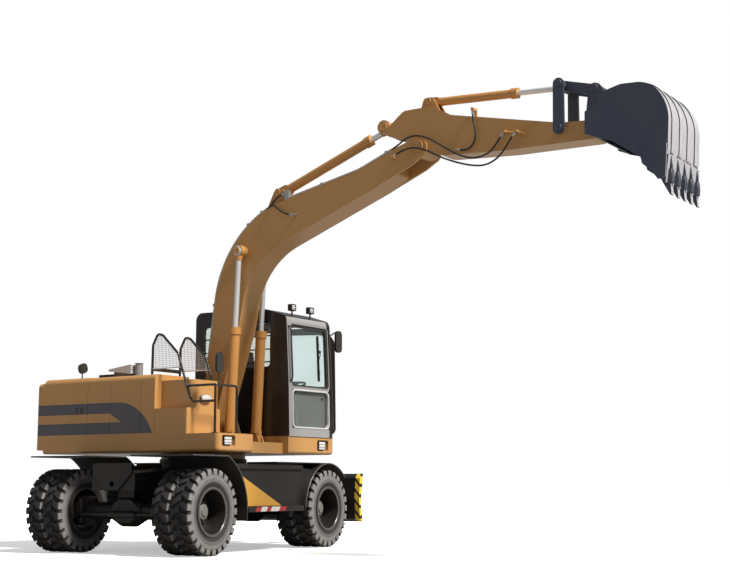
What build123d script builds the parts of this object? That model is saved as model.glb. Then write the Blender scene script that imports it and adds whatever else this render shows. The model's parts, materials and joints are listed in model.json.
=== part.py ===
from build123d import *
import math
import os

# Wheeled excavator, in millimetres. x runs forward along the boom, y to the left and z up,
# from the ground under the swing centre. The chassis has its own x and y and is turned under the deck.

# Wheels and axles
tyre_radius = 522
tyre_width = 245
lug_count = 24
lug_width = 70
lug_depth = 26
twin_gap = 50
half_track = 1244.5
front_axle_x = 1520
rear_axle_x = -1210
bead_radius = 285
rim_wall = 20
flange_height = 15
rim_set_in = 8
hub_radius = 130
disc_thickness = 26
spindle_radius = 60
drum_radius = 170
drum_width = 66
disc_to_hub = 30
spindle_reach = 40
axle_tube_radius = 105
differential_radius = 190
neck_length = 290
neck_z = tyre_radius + 20
kingpin_set_in = 146.5
kingpin_radius = 25
steer_arm = 170
seat_gap = 0.3
pin_gap = 0.1
face_gap = 0.5
twin_inner_y = half_track - 2 * tyre_width - twin_gap
twin_middle_y = twin_inner_y + tyre_width + twin_gap / 2
drum_face_y = twin_middle_y - disc_thickness / 2 - disc_to_hub - 5
drum_start_y = drum_face_y - drum_width
spindle_end_y = twin_middle_y + disc_thickness / 2 + spindle_reach
kingpin_y = drum_face_y - kingpin_set_in

# Chassis
chassis_heading = -85.07
frame_half_width = 330
frame_top = 980
frame_bottom = 716
frame_crown = 1060
ring_radius = 580
ring_bottom = 1120
ring_top = 1180
deck_bottom = 1245
fender_top = 1200
fender_plate = 18
front_arch = 722
rear_arch = 600
box_top = 1055
arch_end_angle = 137
flap_bottom = 400
rear_deck_x = 0
box_bottom = 505
box_set_in = 75
step_height = 68
box_bar_radius = 38
nose_x = 1900
tow_hole_radius = 35
tow_hole_z = 853

# Blade
blade_pivot_x = -1350
blade_pivot_z = 740
blade_back_x = -2170
blade_bottom = 320
blade_top = 1000
blade_half_width = 1200
blade_cylinder_y = 200
blade_cylinder_base = (-1830, 1080)
blade_cylinder_pin = (-2085, 470)
belly_z = 600

# Deck and housings
deck_half_width = 1240
deck_front_x = 1287
deck_rear_x = -1750
deck_top = 1472
deck_plate = 40
skirt_round = 38
pocket_depth = 45
# columns: y from, y to, z from, z to
lamp_pockets = ((-1166, -912, 1312, 1448), (822, 1080, 1290, 1436))
well_right_y = -565
well_left_y = 176
well_front_x = 1170
well_front_top = 1385
well_rear_x = -330
hood_front_x = -945
housing_front_x = 235
hood_top = 2240
left_hood_top = 2155
exhaust_spot = (-530, -720)
hood_vent_box = (-1240, -960, -760, -460)
tail_x = -2290
tail_bottom = 1300
sheet = 20
panel_gap = 5
housing_rear_x = hood_front_x + panel_gap
housing_left_y = well_right_y - 25
housing_seams = (-538, -6)
seam_depth = 10
tool_box_front_x = 780
tool_box_top = 1795
tank_front_x = 770
side_lamp_spot = (-905, 1925)

# Cab
cab_right_y = 182
cab_left_y = 1162
cab_rear_x = -330
cab_front_x = 1299
cab_wall = 45
glass = 6
door_hinge_x = 405
door_front_x = 1195
door_bottom = 1520
door_top = 3020
door_angle = 25
door_proud = 4
hinge_radius = 9
hinge_pin = 4
hinge_tab = 50
hinge_height = 30
hinge_heights = (1700, 2800)
roof_lamp_x = 1170
roof_lamp_z = 3145
roof_lamp_leg = 61.6
roof_lamp_rows = (390, 800)
guard_heights = (2460, 2630, 2810)
guard_radius = 9
hatch_front_x = 660
hatch_rear_x = 60
hatch_set_in = 190
hinge_x = door_hinge_x - 8
hinge_y = cab_left_y + door_proud + 8

# Boom plane, in x and z
boom_y = -190
boom_half = 180
foot = (370, 1720)
foot_radius = 130
lift_base = (822, 1420)
lift_pin = (940, 3860)
lift_offset = 270
boom_rear = (foot[0] - 117, foot[1] - 30)
boom_knee = (615, 4265)
knee_bend = 1430
boom_crest = (2750, 4713)
crest_bend = 900
boom_nose = (3300, 4925)
arm_pivot = (3624, 4900)
arm_half = 150
crowd_base = (1431, 4614)
crowd_pin = (3102, 5230)
curl_base = (3715, 5474)
rocker_foot = (5506, 4847)
rocker_top = (5512, 5367)
bucket_pin = (5891, 4785)
link_pin = (5935, 5247)

# Cylinders: the rod's length that shows at rest, and the length of rod inside the barrel
lift_showing = 1003
lift_inside = 540
crowd_showing = 281
crowd_inside = 1120
curl_showing = 610
curl_inside = 510
blade_showing = 146
blade_inside = 317
plate = 28
bucket_half = 470
bucket_wall = 16
strap_height = 12
strap_rows = (-345, -115, 115, 345)

# Layers beside the boom plane at the pins that a cylinder drives
eye_half = 60
link_inner = eye_half + face_gap
link_outer = 100
rocker_inner = 186
rocker_outer = 212
ear_outer = 182


def outline(*corners):
    """A closed face from corner rows: x, z and, where it is rounded, the corner's radius."""
    spots = [Vector(row[0], row[1]) for row in corners]
    trims = []
    for i, row in enumerate(corners):
        here = spots[i]
        radius = row[2] if len(row) > 2 else 0
        if radius == 0:
            trims.append((here, None, here))
            continue
        back = (spots[i - 1] - here).normalized()
        ahead = (spots[(i + 1) % len(spots)] - here).normalized()
        half = math.radians(back.get_angle(ahead)) / 2
        reach = radius / math.tan(half)
        crown = (back + ahead).normalized() * (radius / math.sin(half) - radius)
        trims.append((here + back * reach, here + crown, here + ahead * reach))
    edges = []
    for i, (start, crown, end) in enumerate(trims):
        if crown is not None:
            edges.append(ThreePointArc(start, crown, end))
        following = trims[(i + 1) % len(trims)][0]
        if (following - end).length > 0.01:
            edges.append(Line(end, following))
    return make_face(edges)


def across(face, low, high):
    """A face drawn in x and z, given a width from y = low to y = high."""
    return extrude(Plane.XZ.offset(-high) * face, high - low, dir=(0, -1, 0))


def upward(face, low, high):
    """A face drawn in x and y, given a height from z = low to z = high."""
    return extrude(Pos(0, 0, low) * face, high - low, dir=(0, 0, 1))


def block(x0, x1, y0, y1, z0, z1):
    """A box between two corners."""
    middle = Pos((x0 + x1) / 2, (y0 + y1) / 2, (z0 + z1) / 2)
    return middle * Box(x1 - x0, y1 - y0, z1 - z0)


def bar(start, end, radius):
    """A round bar from one point to another."""
    run = Vector(end) - Vector(start)
    base = Align.CENTER, Align.CENTER, Align.MIN
    return Plane(origin=start, z_dir=run) * Cylinder(radius, run.length, align=base)


def boss(spot, radius, low, high):
    """A round boss or pin along y at a point of the boom plane."""
    return bar((spot[0], low, spot[1]), (spot[0], high, spot[1]), radius)


def strap(first, first_radius, second, second_radius):
    """The face of a link whose two round ends are joined by their tangents."""
    ends = Pos(*first) * Circle(first_radius) + Pos(*second) * Circle(second_radius)
    return make_hull(ends.edges())


def both(shape):
    """A shape and its mirror image across the y = 0 plane."""
    return shape + mirror(shape, Plane.XZ)


def beside_boom(shape):
    """A shape drawn about the boom's middle plane, moved to its place."""
    return Pos(0, boom_y, 0) * shape


def point_on(start, end, reach):
    """The point of the boom plane that lies a length from start towards end."""
    run = Vector(end[0] - start[0], end[1] - start[1]).normalized() * reach
    return start[0] + run.X, start[1] + run.Y


def revolved(rows):
    """A ring about the y axis from rows of radius and y."""
    return revolve(outline(*rows), Axis.Y)


def polar(hub, reach, angle):
    """The point at a reach and an angle from a hub, in x and z."""
    return hub[0] + reach * math.cos(math.radians(angle)), hub[1] + reach * math.sin(math.radians(angle))


# Wheels: a twin is two tyres on one pair of rims
tread_radius = tyre_radius - lug_depth
lug_turn = math.degrees(math.asin(lug_width / 2 / tyre_radius))
shoulder_drop = 34
shoulder_run = 26
bead_depth = 24
bore_sides = 12


def flat_sided(apothem, sides):
    """A regular polygon in x and z with a flat across the x axis."""
    half_turn = 180 / sides
    reach = apothem / math.cos(math.radians(half_turn))
    return outline(*[polar((0, 0), reach, half_turn * (2 * i + 1)) for i in range(sides)])


def tyre():
    """One tyre about the y axis, from y = 0, with a bar of tread across it at each lug."""
    lug_reach = tyre_radius / math.cos(math.radians(lug_turn))
    corners = []
    for i in range(lug_count):
        middle = 360 * i / lug_count
        low, high = middle - lug_turn, middle + lug_turn
        for reach, angle in ((tread_radius, low), (lug_reach, low), (lug_reach, high), (tread_radius, high)):
            corners.append(polar((0, 0), reach, angle))
    body = across(outline(*corners), 0, tyre_width)
    shoulder = tyre_radius - shoulder_drop
    rows = ((0, shoulder), (shoulder_run, tyre_radius + 1), (tyre_width - shoulder_run, tyre_radius + 1))
    rows += ((tyre_width, shoulder),)
    body &= loft([Plane.XZ.offset(-y) * flat_sided(apothem, lug_count) for y, apothem in rows], ruled=True)
    body -= across(flat_sided(bead_radius, bore_sides), -1, tyre_width + 1)
    recess = flat_sided(bead_radius + 20, bore_sides)
    return body - across(recess, -1, bead_depth) - across(recess, tyre_width - bead_depth, tyre_width + 1)


def twin_tyres():
    """Both tyres of a twin on the left side, about the y axis."""
    single = tyre()
    return [Pos(0, y, 0) * single for y in (twin_inner_y, twin_inner_y + tyre_width + twin_gap)]


def twin_rims():
    """The rims, discs and planetary hub of a twin on the left side."""
    rim_outer = bead_radius - seat_gap
    rim_inner = rim_outer - rim_wall
    lip = rim_outer + flange_height
    start = twin_inner_y + rim_set_in
    end = half_track - rim_set_in
    rows = [(rim_inner, start), (lip, start), (lip, start + 15), (rim_outer, start + 15)]
    rows += [(rim_outer, end - 15), (lip, end - 15), (lip, end), (rim_inner, end)]
    wheel = revolved(rows)
    disc_low = twin_middle_y - disc_thickness / 2
    disc_high = twin_middle_y + disc_thickness / 2
    wheel += bar((0, disc_low, 0), (0, disc_high, 0), rim_inner)
    wheel += bar((0, disc_low - disc_to_hub, 0), (0, disc_high + 85, 0), hub_radius)
    wheel += bar((0, disc_high + 85, 0), (0, disc_high + 110, 0), hub_radius - 35)
    for angle in range(0, 360, 45):
        wheel -= Rot(0, angle, 0) * bar((200, disc_low - 1, 0), (200, disc_high + 1, 0), 28)
    bore_end = spindle_end_y + 5
    wheel -= bar((0, disc_low - disc_to_hub - 1, 0), (0, bore_end, 0), spindle_radius + pin_gap)
    return wheel


def differential():
    """The bulge round an axle's differential, about the y axis."""
    wide = differential_radius
    return revolved(((0, -230), (120, -230), (wide, -90), (wide, 90), (120, 230), (0, 230)))


def drum_and_spindle(start_y):
    """A brake drum and the spindle that a left twin turns on, about the y axis."""
    drum = bar((0, start_y, 0), (0, drum_face_y, 0), drum_radius)
    return drum + bar((0, drum_face_y, 0), (0, spindle_end_y, 0), spindle_radius)


def rear_axle():
    """The fixed axle: tubes, differential, pinion neck, drums, spindles and its seats under the frame."""
    housing = bar((0, -drum_start_y - 10, 0), (0, drum_start_y + 10, 0), axle_tube_radius)
    housing += differential()
    housing += bar((0, 0, neck_z - tyre_radius), (neck_length, 0, neck_z - tyre_radius), 80)
    housing += both(drum_and_spindle(drum_start_y))
    seat_top = frame_bottom - tyre_radius
    housing += both(block(-110, 110, 200, 320, 0, seat_top))
    return Pos(rear_axle_x, 0, tyre_radius) * housing


def front_axle():
    """The steering axle: beam, differential, yokes, kingpins and the steering cylinder's barrel."""
    yoke_start = kingpin_y - 170
    housing = bar((0, -yoke_start - 30, 0), (0, yoke_start + 30, 0), axle_tube_radius)
    housing += differential()
    housing -= block(128, 300, -400, 400, -300, 300)
    housing += bar((0, 0, neck_z - tyre_radius), (-neck_length, 0, neck_z - tyre_radius), 80)
    yoke = block(-75, 75, yoke_start, kingpin_y - 90, -182, 182)
    for low, high in ((150, 182), (-182, -150)):
        yoke += upward(Pos(0, kingpin_y) * Circle(60), low, high)
        yoke += block(-60, 60, yoke_start, kingpin_y, low, high)
    yoke += bar((0, kingpin_y, -182), (0, kingpin_y, 182), kingpin_radius)
    housing += both(yoke)
    barrel = bar((steer_arm, -210, -37), (steer_arm, 210, -37), 36)
    for y in (-150, 110):
        barrel += block(100, steer_arm, y, y + 40, -70, -10)
    housing += barrel
    housing -= bar((steer_arm, -900, -37), (steer_arm, 900, -37), 18 + pin_gap)
    pivot = block(-90, 90, -120, 120, 150, frame_bottom - tyre_radius + 60)
    housing += pivot
    return Pos(front_axle_x, 0, tyre_radius) * housing


def steering_rod():
    """The rod through the steering cylinder, with a flat eye above each steering arm."""
    rod = bar((steer_arm, -kingpin_y, -37), (steer_arm, kingpin_y, -37), 18)
    for side in (-1, 1):
        eye = upward(Pos(steer_arm, side * kingpin_y) * Circle(30), -61.5, -19)
        rod += eye
    return Pos(front_axle_x, 0, tyre_radius) * rod


def knuckle(side):
    """A steering knuckle with its kingpin barrel, drum, spindle and forward steering arm."""
    body = upward(Pos(0, kingpin_y) * Circle(68), -149.5, 149.5)
    body += block(-75, 75, kingpin_y, drum_start_y, -110, 110)
    body += drum_and_spindle(drum_start_y - 10)
    body += extrude(Pos(0, 0, -92) * strap((0, kingpin_y), 50, (steer_arm, kingpin_y), 30), 30)
    body -= bar((0, kingpin_y, -200), (0, kingpin_y, 200), kingpin_radius + pin_gap)
    if side < 0:
        body = mirror(body, Plane.XZ)
    return Pos(front_axle_x, 0, tyre_radius) * body


def chassis_frame():
    """The box frame with its turret, nose plate, blade pivots and cylinder lugs, in chassis axes."""
    side = outline(
        (-1780, frame_bottom), (-1780, frame_top), (-650, frame_crown, 300), (650, frame_crown, 300),
        (nose_x - 30, frame_top), (nose_x - 30, frame_bottom + 60), (1180, frame_bottom + 60, 60),
        (1000, belly_z, 60), (-680, belly_z, 60), (-860, frame_bottom, 60),
    )
    frame = across(side, -frame_half_width, frame_half_width)
    cavity = offset(side, -25)
    frame -= across(cavity, -frame_half_width + 25, frame_half_width - 25)
    frame += upward(Circle(ring_radius - 30), frame_crown, ring_bottom)
    nose = outline((-300, 1105, 20), (300, 1105, 20), (300, 990), (90, 780, 40), (-90, 780, 40), (-300, 990))
    nose_plate = extrude(Plane.YZ.offset(nose_x - 30) * nose, 30)
    nose_plate -= bar((nose_x - 100, 0, tow_hole_z), (nose_x + 50, 0, tow_hole_z), tow_hole_radius)
    frame -= bar((nose_x - 200, 0, tow_hole_z), (nose_x, 0, tow_hole_z), tow_hole_radius + 20)
    frame += nose_plate
    pivot = bar((blade_pivot_x, frame_half_width, blade_pivot_z), (blade_pivot_x, 372, blade_pivot_z), 60)
    pin = bar((blade_pivot_x, 372, blade_pivot_z), (blade_pivot_x, 425, blade_pivot_z), 30)
    frame += both(pivot + pin)
    lug = outline(
        (-1700, frame_top - 20), (-1790, 1115, 30), (-1865, 1115, 30), (-1865, 1030, 30), (-1775, 900),
    )
    for y in (blade_cylinder_y - 56, blade_cylinder_y + 38):
        frame += both(across(lug, y, y + 18))
    frame += both(boss(blade_cylinder_base, 18, blade_cylinder_y - 56, blade_cylinder_y + 56))
    return frame


def swing_ring():
    """The lower race of the swing bearing."""
    ring = upward(Circle(ring_radius) - Circle(ring_radius - 140), ring_bottom, ring_top)
    return ring


def driveline():
    """The travel gearbox under the frame and the shafts to both axles."""
    gearbox = block(-160, 160, -170, 170, 380, belly_z - seat_gap)
    gearbox += bar((-230, 0, 470), (230, 0, 470), 95)
    for side, axle_x in ((1, front_axle_x), (-1, rear_axle_x)):
        neck = axle_x - side * (neck_length + seat_gap)
        gearbox += bar((side * 225, 0, 470), (neck - side * 30, 0, neck_z), 38)
        gearbox += bar((neck - side * 40, 0, neck_z), (neck, 0, neck_z), 62)
    return [gearbox]


def arch(hub, radius, start_angle, end_angle):
    """The face of a curved mudguard about a wheel's hub, in x and z, between two angles from forward."""
    rows = []
    middle = (start_angle + end_angle) / 2
    for reach, start, end in ((radius, start_angle, end_angle), (radius + fender_plate, end_angle, start_angle)):
        rows.append([polar(hub, reach, angle) for angle in (start, middle, end)])
    inner, outer = rows
    edges = [ThreePointArc(*inner), Line(inner[2], outer[0]), ThreePointArc(*outer), Line(outer[2], inner[0])]
    return make_face(edges)


def fenders():
    """Front and rear mudguards on both sides, in chassis axes."""
    inner_y = frame_half_width + seat_gap
    front_hub = (front_axle_x, tyre_radius)
    flat_bottom = fender_top - fender_plate
    front_angle = 180 - math.degrees(math.asin((fender_top - tyre_radius) / (front_arch + fender_plate)))
    joint_x = polar(front_hub, front_arch + fender_plate, front_angle)[0]
    front = across(arch(front_hub, front_arch, front_angle, 180), inner_y, half_track)
    front += block(joint_x, nose_x + 60, inner_y, half_track, flat_bottom, fender_top)
    flap_x = front_axle_x - front_arch
    front += block(flap_x - fender_plate, flap_x, inner_y, half_track, flap_bottom, tyre_radius + 10)
    rear_hub = (rear_axle_x, tyre_radius)
    rear = across(arch(rear_hub, rear_arch, 0, arch_end_angle), inner_y, half_track)
    deck_z = tyre_radius + rear_arch
    plate_y = half_track - box_set_in
    post_y = plate_y - box_bar_radius - 5
    plate_inner = ring_radius + 120
    rear += block(rear_axle_x, rear_deck_x, plate_inner, plate_y, deck_z, deck_z + fender_plate)
    rear += block(rear_deck_x - fender_plate, rear_deck_x, plate_inner, post_y, box_top + seat_gap, deck_z + 1)
    return [front, mirror(front, Plane.XZ), rear, mirror(rear, Plane.XZ)]


def step_boxes():
    """The tool boxes between the wheels, with a step along the foot and a round bar along the top."""
    front_cut = front_arch + fender_plate + seat_gap
    rear_cut = rear_arch + fender_plate + seat_gap
    front_x = front_axle_x - front_cut
    rear_x = rear_axle_x + rear_cut
    bar_z = box_top + 12
    low, high = box_bottom, box_top
    side = outline((rear_axle_x, low), (rear_axle_x, high), (front_axle_x, high), (front_axle_x, low))
    side -= Pos(front_axle_x, tyre_radius) * Circle(front_cut)
    side -= Pos(rear_axle_x, tyre_radius) * Circle(rear_cut)
    inner_y = frame_half_width + seat_gap
    outer_y = half_track - box_set_in
    box = across(side, inner_y, outer_y)
    box -= across(offset(side, -sheet), inner_y + sheet, outer_y - sheet)
    box += block(rear_x + 30, front_x - 20, outer_y, half_track, box_bottom, box_bottom + step_height)
    box += bar((rear_x, outer_y, bar_z), (front_x + 190, outer_y, bar_z), box_bar_radius)
    return [box, mirror(box, Plane.XZ)]


def blade():
    """The levelling blade: curved mouldboard, ribs, two arms and the cylinder lugs."""
    face = outline(
        (blade_back_x, blade_bottom + 40), (blade_back_x - 60, blade_bottom), (blade_back_x - 90, blade_bottom),
        (blade_back_x - 30, 560, 260), (blade_back_x - 90, blade_top), (blade_back_x - 60, blade_top),
        (blade_back_x, blade_top - 60), (blade_back_x + 25, 640, 200),
    )
    board = across(face, -blade_half_width, blade_half_width)
    arm_low = outline(
        (blade_pivot_x - 20, blade_pivot_z - 58), (blade_pivot_x - 20, blade_pivot_z + 58),
        (blade_back_x, 800), (blade_back_x - 20, 480),
    )
    arm_face = arm_low + Pos(blade_pivot_x, blade_pivot_z) * Circle(62)
    arm_plate = across(arm_face, 374, 420)
    arm_plate -= bar((blade_pivot_x, 370, blade_pivot_z), (blade_pivot_x, 430, blade_pivot_z), 30 + pin_gap)
    board += both(arm_plate)
    board += block(blade_back_x - 10, blade_back_x + 20, -420, 420, 620, 700)
    lug = outline((blade_back_x - 5, 400), (blade_back_x - 5, 545), (-2070, 510, 35), (-2045, 440, 35))
    for y in (blade_cylinder_y - 47, blade_cylinder_y + 28 + face_gap):
        board += both(across(lug, y, y + 18))
    return board


def blade_barrels():
    """The two blade cylinders' barrels."""
    barrel = cylinder_barrel(blade_cylinder_base, blade_cylinder_pin, 36, 20, 30, blade_showing, 18)
    return [Pos(0, y, 0) * barrel for y in (-blade_cylinder_y, blade_cylinder_y)]


def blade_rods():
    """The two blade cylinders' rods, whose eyes lie between the blade's lugs."""
    rod = cylinder_rod(blade_cylinder_base, blade_cylinder_pin, 20, 28, 32, blade_showing + blade_inside)
    return [Pos(0, y, 0) * rod for y in (-blade_cylinder_y, blade_cylinder_y)]


def deck():
    """The revolving frame: floor, side boxes, boom brackets and the bearing's upper race."""
    plan = outline(
        (deck_rear_x, -deck_half_width), (deck_front_x, -deck_half_width, 60), (deck_front_x, deck_half_width, 90),
        (deck_rear_x, deck_half_width),
    )
    body = upward(plan, deck_bottom, deck_top)
    skirt = [edge for edge in body.faces().sort_by(Axis.Z)[0].edges() if edge.center().X > deck_rear_x + 20]
    body = fillet(skirt, skirt_round)
    for y0, y1, z0, z1 in lamp_pockets:
        mouth = Pos((y0 + y1) / 2, (z0 + z1) / 2) * RectangleRounded(y1 - y0, z1 - z0, 22)
        body -= extrude(Plane.YZ.offset(deck_front_x - pocket_depth) * mouth, pocket_depth + 1)
    floor = deck_bottom + deck_plate
    body -= block(well_rear_x, well_front_x, well_right_y, well_left_y, floor, deck_top + 1)
    front = deck_front_x + 1
    body -= block(well_front_x - 1, front, well_right_y, well_left_y, well_front_top, deck_top + 1)
    body -= block(well_front_x + 25, front, well_right_y, well_left_y, deck_bottom - 1, deck_top + 1)
    for y0, y1 in ((-1175, well_right_y - sheet), (well_left_y + sheet, 1175)):
        body -= block(deck_rear_x + 60, deck_front_x - 60, y0, y1, floor, deck_top - sheet)
    body += upward(Circle(ring_radius - 20) - Circle(ring_radius - 150), ring_top + face_gap, deck_bottom)
    bracket = outline(
        (-300, floor), (foot[0] - 150, foot[1] + 60, 60), (foot[0], foot[1] + 190, 120),
        (foot[0] + 170, foot[1] + 40, 90), (690, floor),
    )
    lug = outline((700, floor), (760, 1500, 30), (880, 1500, 30), (960, floor))
    middle = Pos(0, boom_y, 0)
    body += middle * both(across(bracket, boom_half + 8, boom_half + 8 + plate))
    body += middle * both(across(lug, lift_offset - 58, lift_offset - 38))
    body += middle * both(across(lug, lift_offset + 38, lift_offset + 58))
    body += middle * boss(foot, 45, -boom_half - 36, boom_half + 36)
    body += middle * both(boss(lift_base, 35, lift_offset - 58, lift_offset + 58))
    return body


def counterweight():
    """The cast counterweight, rounded in plan and along its top edge."""
    plan = outline(
        (deck_rear_x - seat_gap, -deck_half_width), (-1880, -deck_half_width, 90), (tail_x, -560, 500),
        (tail_x, 560, 500), (-1880, deck_half_width, 90), (deck_rear_x - seat_gap, deck_half_width),
    )
    body = upward(plan, tail_bottom, left_hood_top + 40)
    edges = body.faces().sort_by(Axis.Z)[-1].edges()
    outer = [edge for edge in edges if edge.center().X < deck_rear_x - 20]
    return fillet(outer, 60)


def hood():
    """The engine hood: a shell across the deck with a crowned top."""
    section = outline(
        (-deck_half_width, deck_top), (-deck_half_width, hood_top, 70), (deck_half_width, hood_top, 70),
        (deck_half_width, deck_top),
    )
    shell = extrude(Plane.YZ.offset(deck_rear_x) * section, hood_front_x - deck_rear_x)
    inner = block(deck_rear_x + sheet, hood_front_x - sheet, sheet - deck_half_width, deck_half_width - sheet,
                  deck_top - 1, hood_top - sheet)
    return shell - inner


def right_housing():
    """The pump and tank housing along the right side, ahead of the hood."""
    top = hood_top - panel_gap
    body = block(housing_rear_x, housing_front_x, -deck_half_width, housing_left_y, deck_top, top)
    body = fillet(body.edges().filter_by(Axis.X).sort_by(Axis.Z)[-2:].sort_by(Axis.Y)[0], 65)
    for x in housing_seams:
        groove = block(x, x + panel_gap, -deck_half_width - 1, well_right_y, deck_top - 1, hood_top)
        groove -= block(x - 1, x + panel_gap + 1, seam_depth - deck_half_width, well_right_y + 1, deck_top - 2,
                        top - seam_depth)
        body -= groove
    return body


def fuel_tank():
    """The tank behind the handrail, with rounded front edges."""
    start_x = housing_front_x + panel_gap
    foot_z = tool_box_top + seat_gap
    tank = block(start_x, tank_front_x, 130 - deck_half_width, housing_left_y, foot_z, left_hood_top)
    front = tank.edges().filter_by(Axis.Z).sort_by(Axis.X)[-2:]
    return fillet(front, 90)


def tool_box():
    """The tool box below the tank, at the right front of the deck."""
    start_x = housing_front_x + panel_gap
    box = block(start_x, tool_box_front_x, -deck_half_width, housing_left_y, deck_top, tool_box_top)
    return fillet(box.edges().filter_by(Axis.Z).sort_by(Axis.X)[-2:], 20)


def left_housing():
    """The cooler housing behind the cab."""
    top = hood_top - panel_gap
    side = outline((housing_rear_x, deck_top), (housing_rear_x, top), (-700, top, 120),
                   (cab_rear_x - 60, left_hood_top, 120), (cab_rear_x - 60, deck_top))
    return across(side, cab_right_y, deck_half_width)


def centre_cover():
    """The low cover over the valves between the two housings."""
    cover = block(housing_rear_x, well_rear_x, well_right_y - 20, cab_right_y - 5, deck_top, 1990)
    return fillet(cover.edges().filter_by(Axis.Y).sort_by(Axis.Z)[-2:].sort_by(Axis.X)[-1], 80)


def engine():
    """The engine as one block at its place across the tail."""
    return block(-1600, -1080, -520, 420, deck_top + seat_gap, 2080)


def swing_drive():
    """The swing motor and its gearbox behind the boom's foot."""
    floor = deck_bottom + deck_plate
    drive = bar((-120, boom_y, floor), (-120, boom_y, 1640), 125)
    return drive + bar((-120, boom_y, 1640), (-120, boom_y, 1800), 85)


cab_side_rows = (
    (cab_rear_x, deck_top), (cab_rear_x, 3195, 110), (880, 3172, 400), (1235, 3060, 90),
    (1283, 2126, 2000), (cab_front_x, deck_top),
)


def cab_shell():
    """The cab's hollow body with its windows, door opening and open front."""
    side = outline(*cab_side_rows)
    shell = across(side, cab_right_y, cab_left_y)
    hollow = across(offset(side, -cab_wall), cab_right_y + cab_wall, cab_left_y - cab_wall)
    shell -= hollow
    right, left = cab_right_y, cab_left_y
    shell -= block(cab_front_x - 140, cab_front_x + 50, right + 70, left - 70, deck_top + 110, 2960)
    shell -= block(cab_rear_x - 10, cab_rear_x + 60, right + 120, left - 120, 2280, 3020)
    shell -= across(right_window(), cab_right_y - 10, cab_right_y + cab_wall + 10)
    shell -= across(left_window(), cab_left_y - cab_wall - 10, cab_left_y + 10)
    shell -= across(door_face(-4), cab_left_y - cab_wall - 10, cab_left_y + 10)
    shell -= block(hatch_rear_x, hatch_front_x, right + hatch_set_in, left - hatch_set_in, 3120, 3260)
    for z in guard_heights:
        shell += bar((-200, right + guard_radius, z), (1005, right + guard_radius, z), guard_radius)
    for z in hinge_heights:
        shell += block(hinge_x - hinge_tab, hinge_x, cab_left_y, cab_left_y + 8, z, z + hinge_height)
        shell += bar((hinge_x, hinge_y, z), (hinge_x, hinge_y, z + hinge_height), hinge_radius)
        shell += bar((hinge_x, hinge_y, z), (hinge_x, hinge_y, z + 2 * hinge_height), hinge_pin)
    return shell


def door_face(grow):
    """The door's outline in x and z, made smaller by grow."""
    rear, front, low, high = door_hinge_x + grow, door_front_x - grow, door_bottom + grow, door_top - grow
    return outline(
        (rear, low, 60), (rear, high, 60), (1030, high, 200), (front - 20, 2830, 160), (front, low, 90),
    )


door_turn = Pos(hinge_x, hinge_y, 0) * Rot(0, 0, door_angle) * Pos(-hinge_x, -hinge_y, 0)


def door():
    """The cab door, framed round its glass, as it stands ajar."""
    leaf = across(door_face(5), cab_left_y - 38, cab_left_y + door_proud)
    for z in hinge_heights:
        low = z + hinge_height + seat_gap
        high = z + 2 * hinge_height
        leaf += block(hinge_x, hinge_x + hinge_tab, cab_left_y + door_proud, hinge_y, low, high)
        leaf += bar((hinge_x, hinge_y, low), (hinge_x, hinge_y, high), hinge_radius)
        leaf -= bar((hinge_x, hinge_y, low - 1), (hinge_x, hinge_y, high + 1), hinge_pin + pin_gap)
    window = outline(
        (door_hinge_x + 70, 2180, 40), (door_hinge_x + 70, door_top - 75, 40), (1000, door_top - 75, 150),
        (door_front_x - 95, 2800, 120), (door_front_x - 85, 2180, 40),
    )
    leaf -= across(window, cab_left_y - 60, cab_left_y + 20)
    pane = across(offset(window, -seat_gap), cab_left_y - 20, cab_left_y - 20 + glass)
    return door_turn * leaf, door_turn * pane


def framed(x0, x1, y0, y1, z0, z1):
    """A pane that clears the sides of its opening."""
    return block(x0, x1, y0 + seat_gap, y1 - seat_gap, z0 + seat_gap, z1 - seat_gap)


def right_window():
    """The opening in the cab's right wall."""
    return outline((-180, 2380, 60), (-180, 2990, 60), (985, 2990, 90), (985, 2380, 60))


def left_window():
    """The opening behind the door."""
    front = door_hinge_x - 70
    return outline((-230, 2330, 60), (-230, 2990, 60), (front, 2990, 60), (front, 2330, 60))


def cab_glass():
    """The fixed panes, each set in its opening."""
    right, left = cab_right_y, cab_left_y
    front, rear = cab_front_x - 60, cab_rear_x + 20
    panes = [
        framed(front, front + glass, right + 70, left - 70, deck_top + 110, 2100),
        framed(rear, rear + glass, right + 120, left - 120, 2280, 3020),
        framed(hatch_rear_x, hatch_front_x, right + hatch_set_in, left - hatch_set_in, 3150, 3150 + glass),
    ]
    panes.append(across(offset(right_window(), -seat_gap), cab_right_y + 20, cab_right_y + 20 + glass))
    panes.append(across(offset(left_window(), -seat_gap), cab_left_y - 26, cab_left_y - 26 + glass))
    return panes


def seat():
    """The operator's seat: cushion and back as closed solids on a base box."""
    middle = (cab_right_y + cab_left_y) / 2
    cushion = block(150, 640, middle - 250, middle + 250, 1920, 2040)
    seam = 2040 + seat_gap
    back = outline((120, seam, 40), (60, 2740, 60), (180, 2740, 60), (250, seam, 40))
    return fillet(cushion.edges().filter_by(Axis.Z), 60), across(back, middle - 240, middle + 240)


def seat_base():
    """The seat's pedestal and side consoles."""
    middle = (cab_right_y + cab_left_y) / 2
    floor = deck_top + cab_wall
    base = block(180, 600, middle - 200, middle + 200, floor, 1920 - seat_gap)
    for side in (-1, 1):
        console = block(150, 640, middle + side * 330 - 60, middle + side * 330 + 60, 1860, 2060)
        console += block(350, 450, middle + side * 265 - 70, middle + side * 265 + 70, 1780, 1860)
        base += console
        base += bar((560, middle + side * 330, 2055), (590, middle + side * 330, 2250), 22)
    return base


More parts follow.
